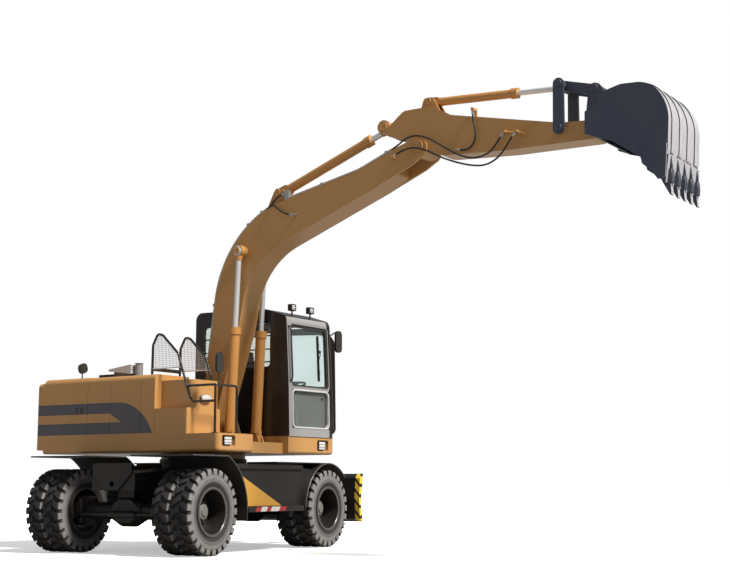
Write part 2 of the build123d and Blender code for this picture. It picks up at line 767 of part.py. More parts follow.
def steering_column():
    """The column, wheel and dashboard ahead of the seat."""
    middle = (cab_right_y + cab_left_y) / 2
    floor = deck_top + cab_wall
    column = block(1020, 1140, middle - 60, middle + 60, floor + seat_gap, floor + 40)
    column += bar((1080, middle, floor + 20), (955, middle, 2170), 45)
    run = Vector(-120, 0, 2150 - floor).normalized()
    rim = Plane(origin=(955, middle, 2170), z_dir=run) * Torus(190, 14)
    spokes = Plane(origin=(955, middle, 2170), z_dir=run) * Box(380, 30, 12)
    return column + rim + spokes


def exhaust():
    """The silencer pipe and the low grille box on the hood."""
    x, y = exhaust_spot
    foot_z = hood_top - 5 + seat_gap
    pipe = bar((x, y, foot_z), (x, y, hood_top + 185), 52)
    pipe -= bar((x, y, hood_top + 120), (x, y, hood_top + 186), 46)
    cap = bar((x, y, hood_top + 195), (x, y, hood_top + 205), 60)
    cap += block(x - 4, x + 4, y - 50, y + 50, hood_top + 130, hood_top + 196)
    return pipe + cap + upward(Pos(x, y) * RectangleRounded(220, 180, 30), foot_z, foot_z + 30)


def hood_vent():
    """The low air intake box on the hood, with slots along its right side."""
    x0, x1, y0, y1 = hood_vent_box
    vent = fillet(block(x0, x1, y0, y1, hood_top + seat_gap, hood_top + 75).edges().filter_by(Axis.Z), 25)
    slots = 6
    pitch = (x1 - x0) / slots
    for i in range(slots):
        start = x0 + pitch * (i + 0.25)
        vent -= block(start, start + pitch / 2, y0 - 1, y0 + 12, hood_top + 20, hood_top + 58)
    return vent


# Handrails: a hoop on the housing whose tube runs forward to a leg on the deck, an inner hoop on the tank,
# and the bar that crosses between them
rail_radius = 16
rail_bend = 45
rail_y = 90 - deck_half_width
inner_rail_y = well_right_y - 55
rail_foot_z = hood_top - 5 + seat_gap
rail_front_x = 1155
low_rail_z = 1870
high_rail_z = 2070
rail_cross_y = -735
# columns: x and z along the hoop, from its rear foot
hoop_points = ((100, rail_foot_z), (105, 2610), (186, 2756), (272, 2731), (533, 2487))


def tube(points, radius, bend):
    """A round tube through points, bent at each corner."""
    line = FilletPolyline(*points, radius=bend) if len(points) > 2 else Line(*points)
    section = Plane(origin=points[0], z_dir=Vector(points[1]) - Vector(points[0])) * Circle(radius)
    return sweep(section, path=line)


def on_hoop(y, tail):
    """The hoop's points at y, with the tail's x and z added."""
    return [(x, y, z) for x, z in hoop_points + tail]


def handrails():
    """The tubes beside the steps at the right front, joined into one frame."""
    deck_z = deck_top + seat_gap
    outer = on_hoop(rail_y, ((747, 1924), (800, low_rail_z), (rail_front_x, low_rail_z)))
    rails = tube(outer, rail_radius, rail_bend)
    tail_z = left_hood_top + seat_gap
    rails += tube(on_hoop(inner_rail_y, ((632, tail_z + 70), (632, tail_z))), rail_radius, rail_bend)
    start_x = 533 + (2487 - high_rail_z) * (747 - 533) / (2487 - 1924)
    cross = [(start_x, rail_y, high_rail_z), (rail_front_x, rail_y, high_rail_z),
             (rail_front_x, rail_cross_y, high_rail_z), (rail_front_x, rail_cross_y, deck_z)]
    rails += tube(cross, rail_radius, rail_bend)
    rails += bar((rail_front_x, rail_y, deck_z), (rail_front_x, rail_y, high_rail_z), rail_radius)
    rails += bar((102, rail_y, rail_foot_z + 70), (102, inner_rail_y, rail_foot_z + 70), 24)
    for y in (rail_y, rail_cross_y):
        rails += bar((rail_front_x, y, deck_z), (rail_front_x, y, deck_z + 12), 42)
    return rails


def mirrors():
    """The rear-view mirrors on their brackets: left of the cab, at the right front and on the hood."""
    gate_x = rail_front_x
    gate_z = high_rail_z + rail_radius + seat_gap
    # columns: points along the bracket, head's half width, head's height, head's lean in degrees
    rows = (
        (((1222, cab_left_y + seat_gap, 2890), (1222, cab_left_y + 70, 2890), (1285, cab_left_y + 130, 2960),
          (1290, cab_left_y + 132, 2800)), 70, 300, 0),
        (((gate_x, rail_y + 60, gate_z), (gate_x, rail_y + 60, gate_z + 260)), 62, 250, 0),
        (((-1300, -1000, hood_top + seat_gap), (-1300, -1000, hood_top + 150)), 75, 130, 20),
    )
    pieces = []
    for points, half_width, height, lean in rows:
        arm = tube(points, 9, 30)
        face = RectangleRounded(2 * half_width, height, min(half_width, height / 2) - 12)
        head = extrude(Plane.YZ * face, 32)
        pieces.append(arm + Pos(*points[-1]) * Rot(lean, 0, 0) * Pos(-8, 0, 0) * head)
    return pieces


def lamps():
    """The work lamps on the cab roof, in the deck's front corners and on the tool box."""
    lamp = fillet(block(-30, 30, -55, 55, 0, 90).edges().filter_by(Axis.X), 12)
    lamp -= extrude(Plane.YZ.offset(25) * Pos(0, 45) * RectangleRounded(94, 74, 10), 10)
    bracket = block(-8, 8, -8, 8, -roof_lamp_leg, 0)
    pieces = [Pos(roof_lamp_x, y, roof_lamp_z) * (lamp + bracket) for y in roof_lamp_rows]
    for y0, y1, z0, z1 in lamp_pockets:
        face = Pos((y0 + y1) / 2, (z0 + z1) / 2) * RectangleRounded(0.62 * (y1 - y0), z1 - z0 - 30, 16)
        back = Plane.YZ.offset(deck_front_x - pocket_depth + seat_gap)
        pieces.append(extrude(back * face, pocket_depth - 12))
    side_lamp = Plane.YZ.offset(tank_front_x + seat_gap) * Pos(*side_lamp_spot) * Ellipse(95, 42)
    pieces.append(extrude(side_lamp, 40))
    return pieces


def boom_body():
    """The cranked boom: a hollow box girder with its foot, fork and cylinder seats."""
    side = outline(
        boom_rear, (*boom_knee, knee_bend), (*boom_crest, crest_bend), (*boom_nose, 100),
        (boom_nose[0], 4600, 40), (3000, 4464, 200), (1043, 3726, 994), (880, 2900, 900), (foot[0] + 125, foot[1] - 30),
    )
    body = across(side, -boom_half, boom_half)
    body += boss(foot, foot_radius, -boom_half, boom_half)
    inner = offset(side, -24)
    body -= across(inner, -boom_half + 24, boom_half - 24)
    fork = outline(
        (3080, 4835), (*boom_nose, 200), (3560, 5010, 90), (arm_pivot[0] + 125, 4960, 90),
        (arm_pivot[0] + 110, 4800, 90), (3525, 4680, 90), (3080, 4500),
    )
    fork_plate = across(fork, arm_half + 2, boom_half)
    body += both(fork_plate)
    body += boss(arm_pivot, 50, -boom_half - 14, boom_half + 14)
    seat = outline((1250, 4400), (1370, 4640, 60), (1500, 4660, 60), (1620, 4470))
    body += both(across(seat, eye_half + 5, eye_half + 5 + plate))
    body += boss(crowd_base, 35, -eye_half - 45, eye_half + 45)
    body += both(boss(lift_pin, 75, boom_half, lift_offset - 35 - face_gap))
    body -= boss(foot, 45 + pin_gap, -boom_half - 1, boom_half + 1)
    x, z, reach = boom_ports[1]
    body += boss((x, z), 20, -boom_half - reach, -boom_half + 1)
    return body


# Steel pipes along the boom's back, and the hoses at its joints
pipe_radius = 13
pipe_rise = 24
pipe_rows = (-150, -118)
clamp_edges = (-172, -96)
clamp_height = pipe_rise + pipe_radius + 5
clamp_length = 36
pipe_start_z = 2300
pipe_end_angle = 116
hose_radius = 11
# columns: x and z of a port on the right side, how far it stands out
boom_ports = ((1795, 4256, 68), (3290, 4800, 100))
arm_ports = ((4815, 4905, 85), (4985, 4878, 118), (4150, 4790, 52))
# x, y and top of the bracket on the arm whose outer end the bucket cylinder's hose leaves
curl_bracket = (4392, -118, 5260)


def sideways(run):
    """The unit vector to the left of a run in x and z."""
    return Vector(-run.Y, run.X)


def clamp(spot, angle, height, length):
    """A clamp that holds both pipes on the boom at a spot, standing out at an angle."""
    foot_block = block(seat_gap, height, clamp_edges[0], clamp_edges[1], -length / 2, length / 2)
    return Pos(spot.X, 0, spot.Y) * Rot(0, -angle, 0) * foot_block


def boom_pipes():
    """The pipes up the boom's back to the knee, those on to its nose, and the port on its right side."""
    rear, knee, crest, nose = (Vector(*corner) for corner in (boom_rear, boom_knee, boom_crest, boom_nose))
    rise, run, tip = (knee - rear).normalized(), (crest - knee).normalized(), (nose - crest).normalized()
    reach = knee_bend * math.tan(math.radians(rise.get_angle(run)) / 2)
    bend_start = knee - rise * reach
    centre = bend_start - sideways(rise) * knee_bend
    first_angle = math.degrees(math.atan2(sideways(rise).Y, sideways(rise).X))
    low_spot = rear + rise * ((pipe_start_z - rear.Y) / rise.Y)
    lower = clamp(low_spot + rise * 40, first_angle, clamp_height, clamp_length)
    lower += clamp(low_spot + rise * 900, first_angle, clamp_height, clamp_length)
    for angle in (128, pipe_end_angle + 1.5):
        lower += clamp(Vector(*polar((centre.X, centre.Y), knee_bend, angle)), angle, clamp_height, clamp_length)
    top_angle = math.degrees(math.atan2(sideways(run).Y, sideways(run).X))
    nose_angle = math.degrees(math.atan2(sideways(tip).Y, sideways(tip).X))
    manifold = knee + run * 1045
    upper = clamp(manifold, top_angle, 130, 64)
    upper += clamp(manifold + run * 560, top_angle, clamp_height, clamp_length)
    upper += clamp(crest + tip * 440, nose_angle, clamp_height, clamp_length)
    for y in pipe_rows:
        radius = knee_bend + pipe_rise
        start = low_spot + sideways(rise) * pipe_rise
        turn_in = bend_start + sideways(rise) * pipe_rise
        middle, end = (polar((centre.X, centre.Y), radius, angle) for angle in (144, pipe_end_angle))
        path = Line((start.X, y, start.Y), (turn_in.X, y, turn_in.Y))
        path += ThreePointArc((turn_in.X, y, turn_in.Y), (middle[0], y, middle[1]), (end[0], y, end[1]))
        section = Plane(origin=(start.X, y, start.Y), z_dir=(rise.X, 0, rise.Y)) * Circle(pipe_radius)
        lower += sweep(section, path=path)
        corner = crest + (sideways(run) + sideways(tip)).normalized() * pipe_rise
        ends = manifold + sideways(run) * pipe_rise, crest + tip * 470 + sideways(tip) * pipe_rise
        upper += tube([(spot.X, y, spot.Y) for spot in (ends[0], corner, ends[1])], pipe_radius, crest_bend)
    x, z, reach = boom_ports[0]
    port = boss((x, z), 20, -boom_half - reach, -boom_half - seat_gap)
    return [lower, upper, port]


def cylinder_barrel(base, end, radius, bore, eye_width, showing, pin_radius):
    """A hydraulic cylinder's barrel with its base eye, open at the end where the rod leaves."""
    barrel_length = math.dist(base, end) - showing
    near = point_on(base, end, radius + 25)
    stop = point_on(base, end, barrel_length)
    barrel = bar((near[0], 0, near[1]), (stop[0], 0, stop[1]), radius)
    eye = strap(base, radius, point_on(base, end, radius + 40), radius)
    barrel += across(eye, -eye_width, eye_width)
    barrel -= boss(base, pin_radius + pin_gap, -eye_width - 1, eye_width + 1)
    inside = point_on(base, end, radius + 60)
    beyond = point_on(base, end, barrel_length + 10)
    barrel -= bar((inside[0], 0, inside[1]), (beyond[0], 0, beyond[1]), bore + pin_gap)
    collar_start = point_on(base, end, barrel_length - 90)
    collar = bar((collar_start[0], 0, collar_start[1]), (stop[0], 0, stop[1]), radius + 12)
    collar -= bar((collar_start[0], 0, collar_start[1]), (stop[0], 0, stop[1]), radius - 5)
    return barrel + collar


def cylinder_rod(base, end, bore, eye_width, eye_radius, rod_length):
    """A cylinder's rod with its eye; the hidden end stays inside the barrel."""
    length = math.dist(base, end)
    near = point_on(base, end, length - rod_length)
    stop = point_on(base, end, length - eye_radius + 10)
    rod = bar((near[0], 0, near[1]), (stop[0], 0, stop[1]), bore)
    return rod + across(Pos(*end) * Circle(eye_radius), -eye_width, eye_width)


def boom_barrels():
    """Both boom cylinders' barrels."""
    barrel = cylinder_barrel(lift_base, lift_pin, 67.5, 35, 35, lift_showing, 35)
    return [Pos(0, boom_y + side * lift_offset, 0) * barrel for side in (-1, 1)]


def boom_rods():
    """Both boom cylinders' rods, with a pin cap on each eye."""
    rod = cylinder_rod(lift_base, lift_pin, 35, 35, 75, lift_showing + lift_inside)
    pieces = []
    for side in (-1, 1):
        cap = boss(lift_pin, 45, min(side * 35, side * 50), max(side * 35, side * 50))
        pieces.append(Pos(0, boom_y + side * lift_offset, 0) * (rod + cap))
    return pieces


def arm_body():
    """The arm: a tapered box with rear ears, cylinder lugs and nose."""
    side = outline(
        (crowd_pin[0] + 40, 5188, 40), (3400, 5385, 120), (3800, 5385, 120), (4060, 5235, 120),
        (5502, 4921), (bucket_pin[0], 4895), (bucket_pin[0], 4675), (4814, 4694), (3928, 4751, 300), (3541, 4985, 60),
        (3142, 5110, 40),
    )
    body = across(side, -arm_half, arm_half)
    body += boss(bucket_pin, 110, -arm_half, arm_half)
    body += boss(arm_pivot, 130, -arm_half, arm_half)
    body += boss(crowd_pin, 85, -arm_half, arm_half)
    slot = outline((2900, 4800), (2900, 5360), (3200, 5400), (3420, 5225, 60), (3330, 5000), (3400, 4800))
    body -= across(slot, -eye_half - face_gap, eye_half + face_gap)
    cavity = outline((3560, 5345, 40), (3790, 5345, 100), (4040, 5195, 100), (5400, 4895, 30), (5400, 4735, 30),
                     (4814, 4735), (3980, 4800, 100))
    body -= across(cavity, -arm_half + 22, arm_half - 22)
    lug = outline((3600, 5360), (3650, 5520, 50), (3770, 5520, 50), (3890, 5310))
    body += both(across(lug, 52, 52 + plate))
    body += boss(curl_base, 30, -52 - plate - 10, 52 + plate + 10)
    body += both(boss(rocker_foot, 60, arm_half, rocker_inner - face_gap))
    body += boss(rocker_foot, 30, -rocker_outer - 12, rocker_outer + 12)
    for x, z, reach in arm_ports:
        body += boss((x, z), 20, -arm_half - reach, -arm_half + 1)
    x, z, reach = arm_ports[0]
    body += bar((x, -arm_half - 30, z), (x + 260, -arm_half - 30, z - 52), pipe_radius)
    body += block(x + 200, x + 230, -arm_half - 35, -arm_half + 1, z - 60, z - 25)
    x, y, top = curl_bracket
    body += block(x - 15, x + 15, y - 15, y + 15, 5140, top)
    body += block(x - 15, x + 15, y - 97, y, top - 30, top)
    body -= boss(arm_pivot, 50 + pin_gap, -arm_half - 1, arm_half + 1)
    body -= boss(bucket_pin, 35 + pin_gap, -arm_half - 1, arm_half + 1)
    return body


def arm_barrel():
    """The arm cylinder's barrel."""
    return cylinder_barrel(crowd_base, crowd_pin, 60, 37, 60, crowd_showing, 35)


def arm_rod():
    """The arm cylinder's rod."""
    return cylinder_rod(crowd_base, crowd_pin, 37, eye_half, 70, crowd_showing + crowd_inside)


def bucket_barrel():
    """The bucket cylinder's barrel."""
    return cylinder_barrel(curl_base, rocker_top, 52, 32, 50, curl_showing, 30)


def bucket_rod():
    """The bucket cylinder's rod."""
    return cylinder_rod(curl_base, rocker_top, 32, eye_half, 62, curl_showing + curl_inside)


def rockers():
    """The two rockers beside the arm, with bosses that reach in to the cylinder's eye."""
    face = strap(rocker_foot, 70, rocker_top, 66)
    pieces = []
    for side in (-1, 1):
        low, high = sorted((side * rocker_inner, side * rocker_outer))
        rocker = across(face, low, high)
        low, high = sorted((side * (link_outer + face_gap), side * (rocker_outer + 8)))
        rocker += boss(rocker_top, 50, low, high)
        rocker -= boss(rocker_foot, 30 + pin_gap, -rocker_outer - 1, rocker_outer + 1)
        pieces.append(rocker)
    return pieces


def bucket_link():
    """The link from the rockers to the bucket: two plates joined at the bucket's end."""
    near = point_on(link_pin, rocker_top, 150)
    face = strap(rocker_top, 58, link_pin, 62)
    link = both(across(face, link_inner, link_outer))
    link += boss(link_pin, 62, -link_outer, link_outer)
    link += both(boss(link_pin, 62, link_outer, arm_half))
    link += both(across(strap(near, 30, link_pin, 30), 0, link_inner + 1))
    link -= boss(link_pin, 35 + pin_gap, -arm_half - 1, arm_half + 1)
    return link


def bucket():
    """The digging bucket: rolled shell, side plates, lip, teeth and the ears that carry it."""
    x0, z0 = bucket_pin
    outer = outline(
        (x0 + 180, 4590), (x0 + 170, 4880, 60), (x0 + 240, 5090, 60), (6370, 5150, 300), (6720, 5130, 330),
        (6915, 4830, 500), (6885, 4345, 600), (6815, 4031),
    )
    inner = offset(outer, -bucket_wall)
    mouth = outline(
        (5800, 4300), (x0 + 165, 4600), (6234, 4545), (6625, 4275, 40), (6650, 4150), (6835, 4025),
        (6900, 3900), (6200, 3900),
    )
    shell = across(outer, -bucket_half, bucket_half)
    shell -= across(inner, -bucket_half + 20, bucket_half - 20)
    shell -= across(mouth, -bucket_half - 1, bucket_half + 1)
    side = outline((5945, 4905), (5940, 4655), (x0 + 190, 4596), (x0 + 190, 4980))
    shell += both(across(side, bucket_half - 20, bucket_half))
    ear = outline(
        (x0 - 80, z0 - 40, 60), (x0 - 70, z0 + 60, 40), (link_pin[0] - 68, link_pin[1] - 10, 50),
        (link_pin[0] - 30, link_pin[1] + 70, 50), (link_pin[0] + 60, link_pin[1] + 50, 50), (x0 + 250, 5080),
        (x0 + 190, 4620), (x0 + 40, z0 - 95, 60),
    )
    shell += both(across(ear, arm_half + 2, ear_outer))
    shell += boss(bucket_pin, 35, -ear_outer, ear_outer)
    shell += boss(link_pin, 35, -ear_outer, ear_outer)
    strap_face = offset(outer, strap_height) - outer
    strap_face &= outline((6500, 5400), (7100, 5400), (7100, 4330), (6500, 4330))
    for y in strap_rows:
        shell += across(strap_face, y - 45, y + 45)
    cutter = outline((6560, 4400), (6880, 4420), (6855, 4060), (6770, 4040), (6700, 4140), (6600, 4230))
    shell += both(across(cutter, bucket_half, bucket_half + 14))
    lip = outline((6815, 4300), (6893, 4300), (6850, 4000), (6780, 4050))
    shell += across(lip, -bucket_half, bucket_half)
    tooth = outline((6800, 4120), (6880, 4120), (6885, 4020), (6893, 3873), (6877, 3868), (6790, 4030))
    for y in (-390, -195, 0, 195, 390):
        shell += across(tooth, y - 32, y + 32)
    return shell


# Routes of the free hoses in x, y and z
hose_routes = {
    "hose_crowd": ((1254.2, -308, 4378.6), (1307.8, -308, 4404.8), (1365, -320, 4459), (1430, -330, 4515),
                   (1508.6, -335, 4549.6), (1586.6, -335, 4565.9)),
    "hose_side": ((1254.2, -340, 4378.6), (1321.6, -340, 4411.5), (1395, -374, 4430), (1470, -408, 4408),
                  (1545, -412, 4350), (1620, -412, 4300), (1700, -412, 4266), (1774.8, -412, 4258.1)),
    "hose_arm_upper": ((3180.2, -340, 4904.5), (3300, -340, 4950.7), (3450, -390, 5015), (3600, -412, 5035),
                       (3760, -412, 4990), (3910, -412, 4900), (4070, -412, 4790), (4240, -412, 4690),
                       (4425, -412, 4632), (4610, -412, 4664), (4715, -412, 4765), (4803.2, -412, 4888.5)),
    "hose_arm_lower": ((3308.9, -446, 4807.5), (3480, -446, 4876), (3660, -446, 4868), (3840, -446, 4790),
                       (4010, -446, 4690), (4200, -446, 4610), (4400, -446, 4545), (4590, -446, 4520),
                       (4760, -446, 4590), (4870, -446, 4720), (4973, -446, 4861.6)),
    "hose_curl": ((4392, -385, 5229.7), (4392, -385, 5110), (4425, -385, 5000), (4428, -385, 4885),
                  (4375, -382, 4792), (4280, -380, 4752), (4169.2, -380, 4783.5)),
}


def hose(name, points):
    """A hose through its route's points, with each corner's arc as wide as its runs allow."""
    spots = [Vector(*point) for point in points]
    radii = []
    for before, here, after in zip(spots, spots[1:], spots[2:]):
        half_turn = math.radians((here - before).get_angle(after - here)) / 2
        shorter = min((here - before).length, (after - here).length)
        radii.append(0.45 * shorter / math.tan(half_turn))
    print(name, "radii", [round(radius) for radius in radii])
    line = FilletPolyline(*points, radius=radii)
    section = Plane(origin=points[0], z_dir=spots[1] - spots[0]) * Circle(hose_radius)
    return sweep(section, path=line)


def parts():
    """Each node's name and its solids, in the machine's frame."""
    turn = Rot(0, 0, chassis_heading)
    left = Pos(front_axle_x, 0, tyre_radius)
    right = Pos(front_axle_x, 0, tyre_radius) * Rot(0, 0, 180)
    rear_left = Pos(rear_axle_x, 0, tyre_radius)
    rear_right = Pos(rear_axle_x, 0, tyre_radius) * Rot(0, 0, 180)
    nodes = {
        "chassis_frame": [chassis_frame()],
        "swing_ring": [swing_ring()],
        "front_axle": [front_axle()],
        "rear_axle": [rear_axle()],
        "driveline": driveline(),
        "fenders": fenders(),
        "step_boxes": step_boxes(),
        "steering_rod": [steering_rod()],
        "knuckle_left": [knuckle(1)],
        "knuckle_right": [knuckle(-1)],
        "blade": [blade()],
        "blade_barrels": blade_barrels(),
        "blade_rods": blade_rods(),
    }
    corners = (("front_left", left), ("front_right", right), ("rear_left", rear_left), ("rear_right", rear_right))
    for corner, place in corners:
        nodes["tyres_" + corner] = [place * tyre for tyre in twin_tyres()]
        nodes["rims_" + corner] = [place * twin_rims()]
    nodes = {name: [turn * solid for solid in solids] for name, solids in nodes.items()}
    leaf, pane = door()
    cushion, back = seat()
    nodes |= {
        "deck": [deck()],
        "counterweight": [counterweight()],
        "hood": [hood()],
        "right_housing": [right_housing()],
        "left_housing": [left_housing()],
        "centre_cover": [centre_cover()],
        "fuel_tank": [fuel_tank()],
        "tool_box": [tool_box()],
        "engine": [engine()],
        "swing_drive": [swing_drive()],
        "cab_shell": [cab_shell()],
        "cab_glass": cab_glass(),
        "seat_pads": [cushion, back],
        "seat_base": [seat_base()],
        "steering_column": [steering_column()],
        "exhaust": [exhaust()],
        "hood_vent": [hood_vent()],
        "handrails": [handrails()],
        "mirrors": mirrors(),
        "lamps": lamps(),
        "door": [leaf],
        "door_glass": [pane],
        "boom_barrels": boom_barrels(),
        "boom_rods": boom_rods(),
    }
    plane_nodes = {
        "boom": boom_body(), "arm_barrel": arm_barrel(), "arm_rod": arm_rod(), "arm": arm_body(),
        "bucket_barrel": bucket_barrel(), "bucket_rod": bucket_rod(), "bucket_link": bucket_link(), "bucket": bucket(),
    }
    nodes |= {name: [beside_boom(solid)] for name, solid in plane_nodes.items()}
    nodes["rockers"] = [beside_boom(solid) for solid in rockers()]
    nodes["boom_pipes"] = [beside_boom(solid) for solid in boom_pipes()]
    nodes |= {name: [hose(name, points)] for name, points in hose_routes.items()}
    return nodes


machine = {name: Compound(children=solids) for name, solids in parts().items()}
boxes = [shape.bounding_box() for shape in machine.values()]
# The stored frame has its origin under the middle of the whole machine's box
shift_x = -(min(box.min.X for box in boxes) + max(box.max.X for box in boxes)) / 2
shift_y = -(min(box.min.Y for box in boxes) + max(box.max.Y for box in boxes)) / 2
print("shift", round(shift_x, 3), round(shift_y, 3))

os.makedirs("parts", exist_ok=True)
for name, shape in machine.items():
    export_step(Pos(shift_x, shift_y, 0) * shape, f"parts/{name}.step")
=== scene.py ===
import json
import math

import bmesh
import bpy
from mathutils import Matrix, Vector


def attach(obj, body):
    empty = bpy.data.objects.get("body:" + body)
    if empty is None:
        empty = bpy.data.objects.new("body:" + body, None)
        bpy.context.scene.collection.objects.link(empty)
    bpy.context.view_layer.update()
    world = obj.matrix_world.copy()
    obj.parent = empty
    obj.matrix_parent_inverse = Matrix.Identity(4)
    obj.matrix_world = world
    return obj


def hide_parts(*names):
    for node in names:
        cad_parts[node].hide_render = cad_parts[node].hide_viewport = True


bl_info = {
    "name": "Wheeled Excavator",
    "version": (1, 0, 0),
    "blender": (4, 5, 0),
    "location": "View3D > Sidebar > Excavator",
    "description": "Dresses the packed model of a wheeled excavator and sets it on a pale floor",
    "category": "Object",
}

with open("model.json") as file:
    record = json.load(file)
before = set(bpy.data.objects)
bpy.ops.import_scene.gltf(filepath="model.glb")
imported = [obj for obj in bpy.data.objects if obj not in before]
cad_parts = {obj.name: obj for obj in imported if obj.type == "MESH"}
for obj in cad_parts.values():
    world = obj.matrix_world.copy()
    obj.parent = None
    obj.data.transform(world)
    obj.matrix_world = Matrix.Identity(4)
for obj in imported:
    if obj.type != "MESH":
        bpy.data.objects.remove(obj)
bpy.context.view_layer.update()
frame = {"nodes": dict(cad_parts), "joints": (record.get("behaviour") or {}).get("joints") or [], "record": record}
NODES = frame["nodes"]
JOINTS = {joint["name"]: joint for joint in frame["joints"]}
CORNERS = ("front_left", "front_right", "rear_left", "rear_right")

# Placements: the upper body's own axes start under the swing centre, and the chassis is turned under it
SWING = Vector(JOINTS["swing"]["pos_m"])
UPPER = Matrix.Translation((SWING.x, SWING.y, 0))
AXLE_AXIS = Vector(JOINTS["roll_rear_left"]["axis"])
HEADING = math.atan2(-AXLE_AXIS.x, AXLE_AXIS.y)
CHASSIS = UPPER @ Matrix.Rotation(HEADING, 4, "Z")
BOOM_Y = JOINTS["boom_lift"]["pos_m"][1]
BOOM_PLANE = Matrix.Translation((SWING.x, BOOM_Y, 0))

# Camera as fitted to the photograph, in the upper body's axes
CAMERA_SPOT = (11.902, -13.957, 0.854)
CAMERA_YAW = math.radians(123.668)
CAMERA_PITCH = math.radians(8.53)
CAMERA_LENS = 66.39
SENSOR = 36.0

# Places of the pins in the boom's plane, x and z
FOOT, LIFT_BASE, LIFT_PIN = (0.370, 1.720), (0.822, 1.420), (0.940, 3.860)
ARM_PIVOT, CROWD_BASE, CROWD_PIN = (3.624, 4.900), (1.431, 4.614), (3.102, 5.230)
CURL_BASE, ROCKER_FOOT, ROCKER_TOP = (3.715, 5.474), (5.506, 4.847), (5.512, 5.367)
BUCKET_PIN, LINK_PIN = (5.891, 4.785), (5.935, 5.247)

# The cab's front leans back above the divider and stands nearly upright below it
DIVIDER = 2.126
CAB_FRONT = 1.2
FRONT_FOOT = Matrix.Translation((1.283, 0, DIVIDER))
UPPER_FRONT = UPPER @ FRONT_FOOT @ Matrix.Rotation(-0.0514, 4, "Y")
LOWER_FRONT = UPPER @ FRONT_FOOT @ Matrix.Rotation(-0.0245, 4, "Y")
DOOR_HINGE = Matrix.Translation((0.397, 1.174, 0))
DOOR = UPPER @ DOOR_HINGE @ Matrix.Rotation(math.radians(25), 4, "Z") @ DOOR_HINGE.inverted()

MATERIALS = {}


# Mesh helpers

def link_piece(name, data, material, body="upper"):
    """Links a mesh or curve as a piece that rides on a body and takes its finish from a slot."""
    piece = bpy.data.objects.new(name, data)
    bpy.context.scene.collection.objects.link(piece)
    data.materials.append(MATERIALS[material])
    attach(piece, body)
    return piece


def new_piece(bm, name, material, body="upper", placement=UPPER, smooth_below=35):
    """Turns a bmesh into a piece in the row frame, smooth except at sharp edges."""
    bm.transform(placement)
    bmesh.ops.remove_doubles(bm, verts=bm.verts, dist=1e-5)
    bmesh.ops.recalc_face_normals(bm, faces=bm.faces)
    limit = math.radians(smooth_below)
    for face in bm.faces:
        face.smooth = True
    for edge in bm.edges:
        edge.smooth = edge.is_manifold and edge.calc_face_angle(0) < limit
    mesh = bpy.data.meshes.new(name)
    bm.to_mesh(mesh)
    bm.free()
    return link_piece(name, mesh, material, body)


def circle(radius, count, turn=0.0):
    """Evenly spaced places on a circle, as pairs."""
    angles = [2 * math.pi * step / count + turn for step in range(count)]
    return [(radius * math.cos(angle), radius * math.sin(angle)) for angle in angles]


def arc(middle, radius, degrees):
    """Places on an arc about a middle, at the given degrees."""
    angles = [math.radians(angle) for angle in degrees]
    return [(middle[0] + radius * math.cos(angle), middle[1] + radius * math.sin(angle)) for angle in angles]


def skin(bm, loops):
    """Joins each loop of corners to the next one with a band of faces."""
    for here, ahead in zip(loops, loops[1:]):
        for i in range(len(here)):
            j = (i + 1) % len(here)
            bm.faces.new((here[i], here[j], ahead[j], ahead[i]))


def cap(bm, loops):
    """Closes the first and the last loop."""
    bm.faces.new(loops[0])
    bm.faces.new(list(reversed(loops[-1])))


def add_box(bm, low, high, bevel=0.0, segments=2, placement=None):
    """Adds a box between two corners, with its edges rounded where bevel isn't 0."""
    low, high = Vector(low), Vector(high)
    made = bmesh.ops.create_cube(bm, size=1.0)["verts"]
    place = Matrix.Translation((low + high) / 2) @ Matrix.Diagonal((*(high - low), 1.0))
    if placement is not None:
        place = placement @ place
    bmesh.ops.transform(bm, verts=made, matrix=place)
    if bevel > 0:
        edges = {edge for vert in made for edge in vert.link_edges}
        bmesh.ops.bevel(bm, geom=list(edges), offset=bevel, segments=segments, profile=0.5, affect="EDGES")


def add_rod(bm, start, end, radius, sides=20, end_radius=None):
    """Adds a round bar between two points."""
    start, end = Vector(start), Vector(end)
    run = end - start
    place = Matrix.Translation((start + end) / 2) @ run.to_track_quat("Z", "Y").to_matrix().to_4x4()
    bmesh.ops.create_cone(
        bm, cap_ends=True, segments=sides, radius1=radius,
        radius2=radius if end_radius is None else end_radius, depth=run.length, matrix=place)


def add_revolved(bm, rows, steps=64, placement=Matrix.Identity(4)):
    """Adds a closed ring from rows of radius and width, turned about the y axis."""
    rings = [
        [bm.verts.new(placement @ Vector((r * a, y, r * b))) for r, y in rows] for a, b in circle(1.0, steps)]
    skin(bm, rings + rings[:1])


def add_turned(bm, rows, placement=Matrix.Identity(4), steps=24):
    """Adds a closed solid turned about y from rows of radius and y, the first and last on the axis."""
    first, last = [bm.verts.new(placement @ Vector((0, rows[end][1], 0))) for end in (0, -1)]
    rings = []
    for radius, y in rows[1:-1]:
        rings.append([bm.verts.new(placement @ Vector((a, y, b))) for a, b in circle(radius, steps)])
    skin(bm, rings)
    for step in range(steps):
        ahead = (step + 1) % steps
        bm.faces.new((first, rings[0][step], rings[0][ahead]))
        bm.faces.new((last, rings[-1][ahead], rings[-1][step]))


def loop_at(bm, outline, at, plane, placement=Matrix.Identity(4)):
    """The corners of an outline that stands in a plane, at one place across it."""
    spots = [(a, at, b) if plane == "XZ" else (at, a, b) for a, b in outline]
    return [bm.verts.new(placement @ Vector(spot)) for spot in spots]


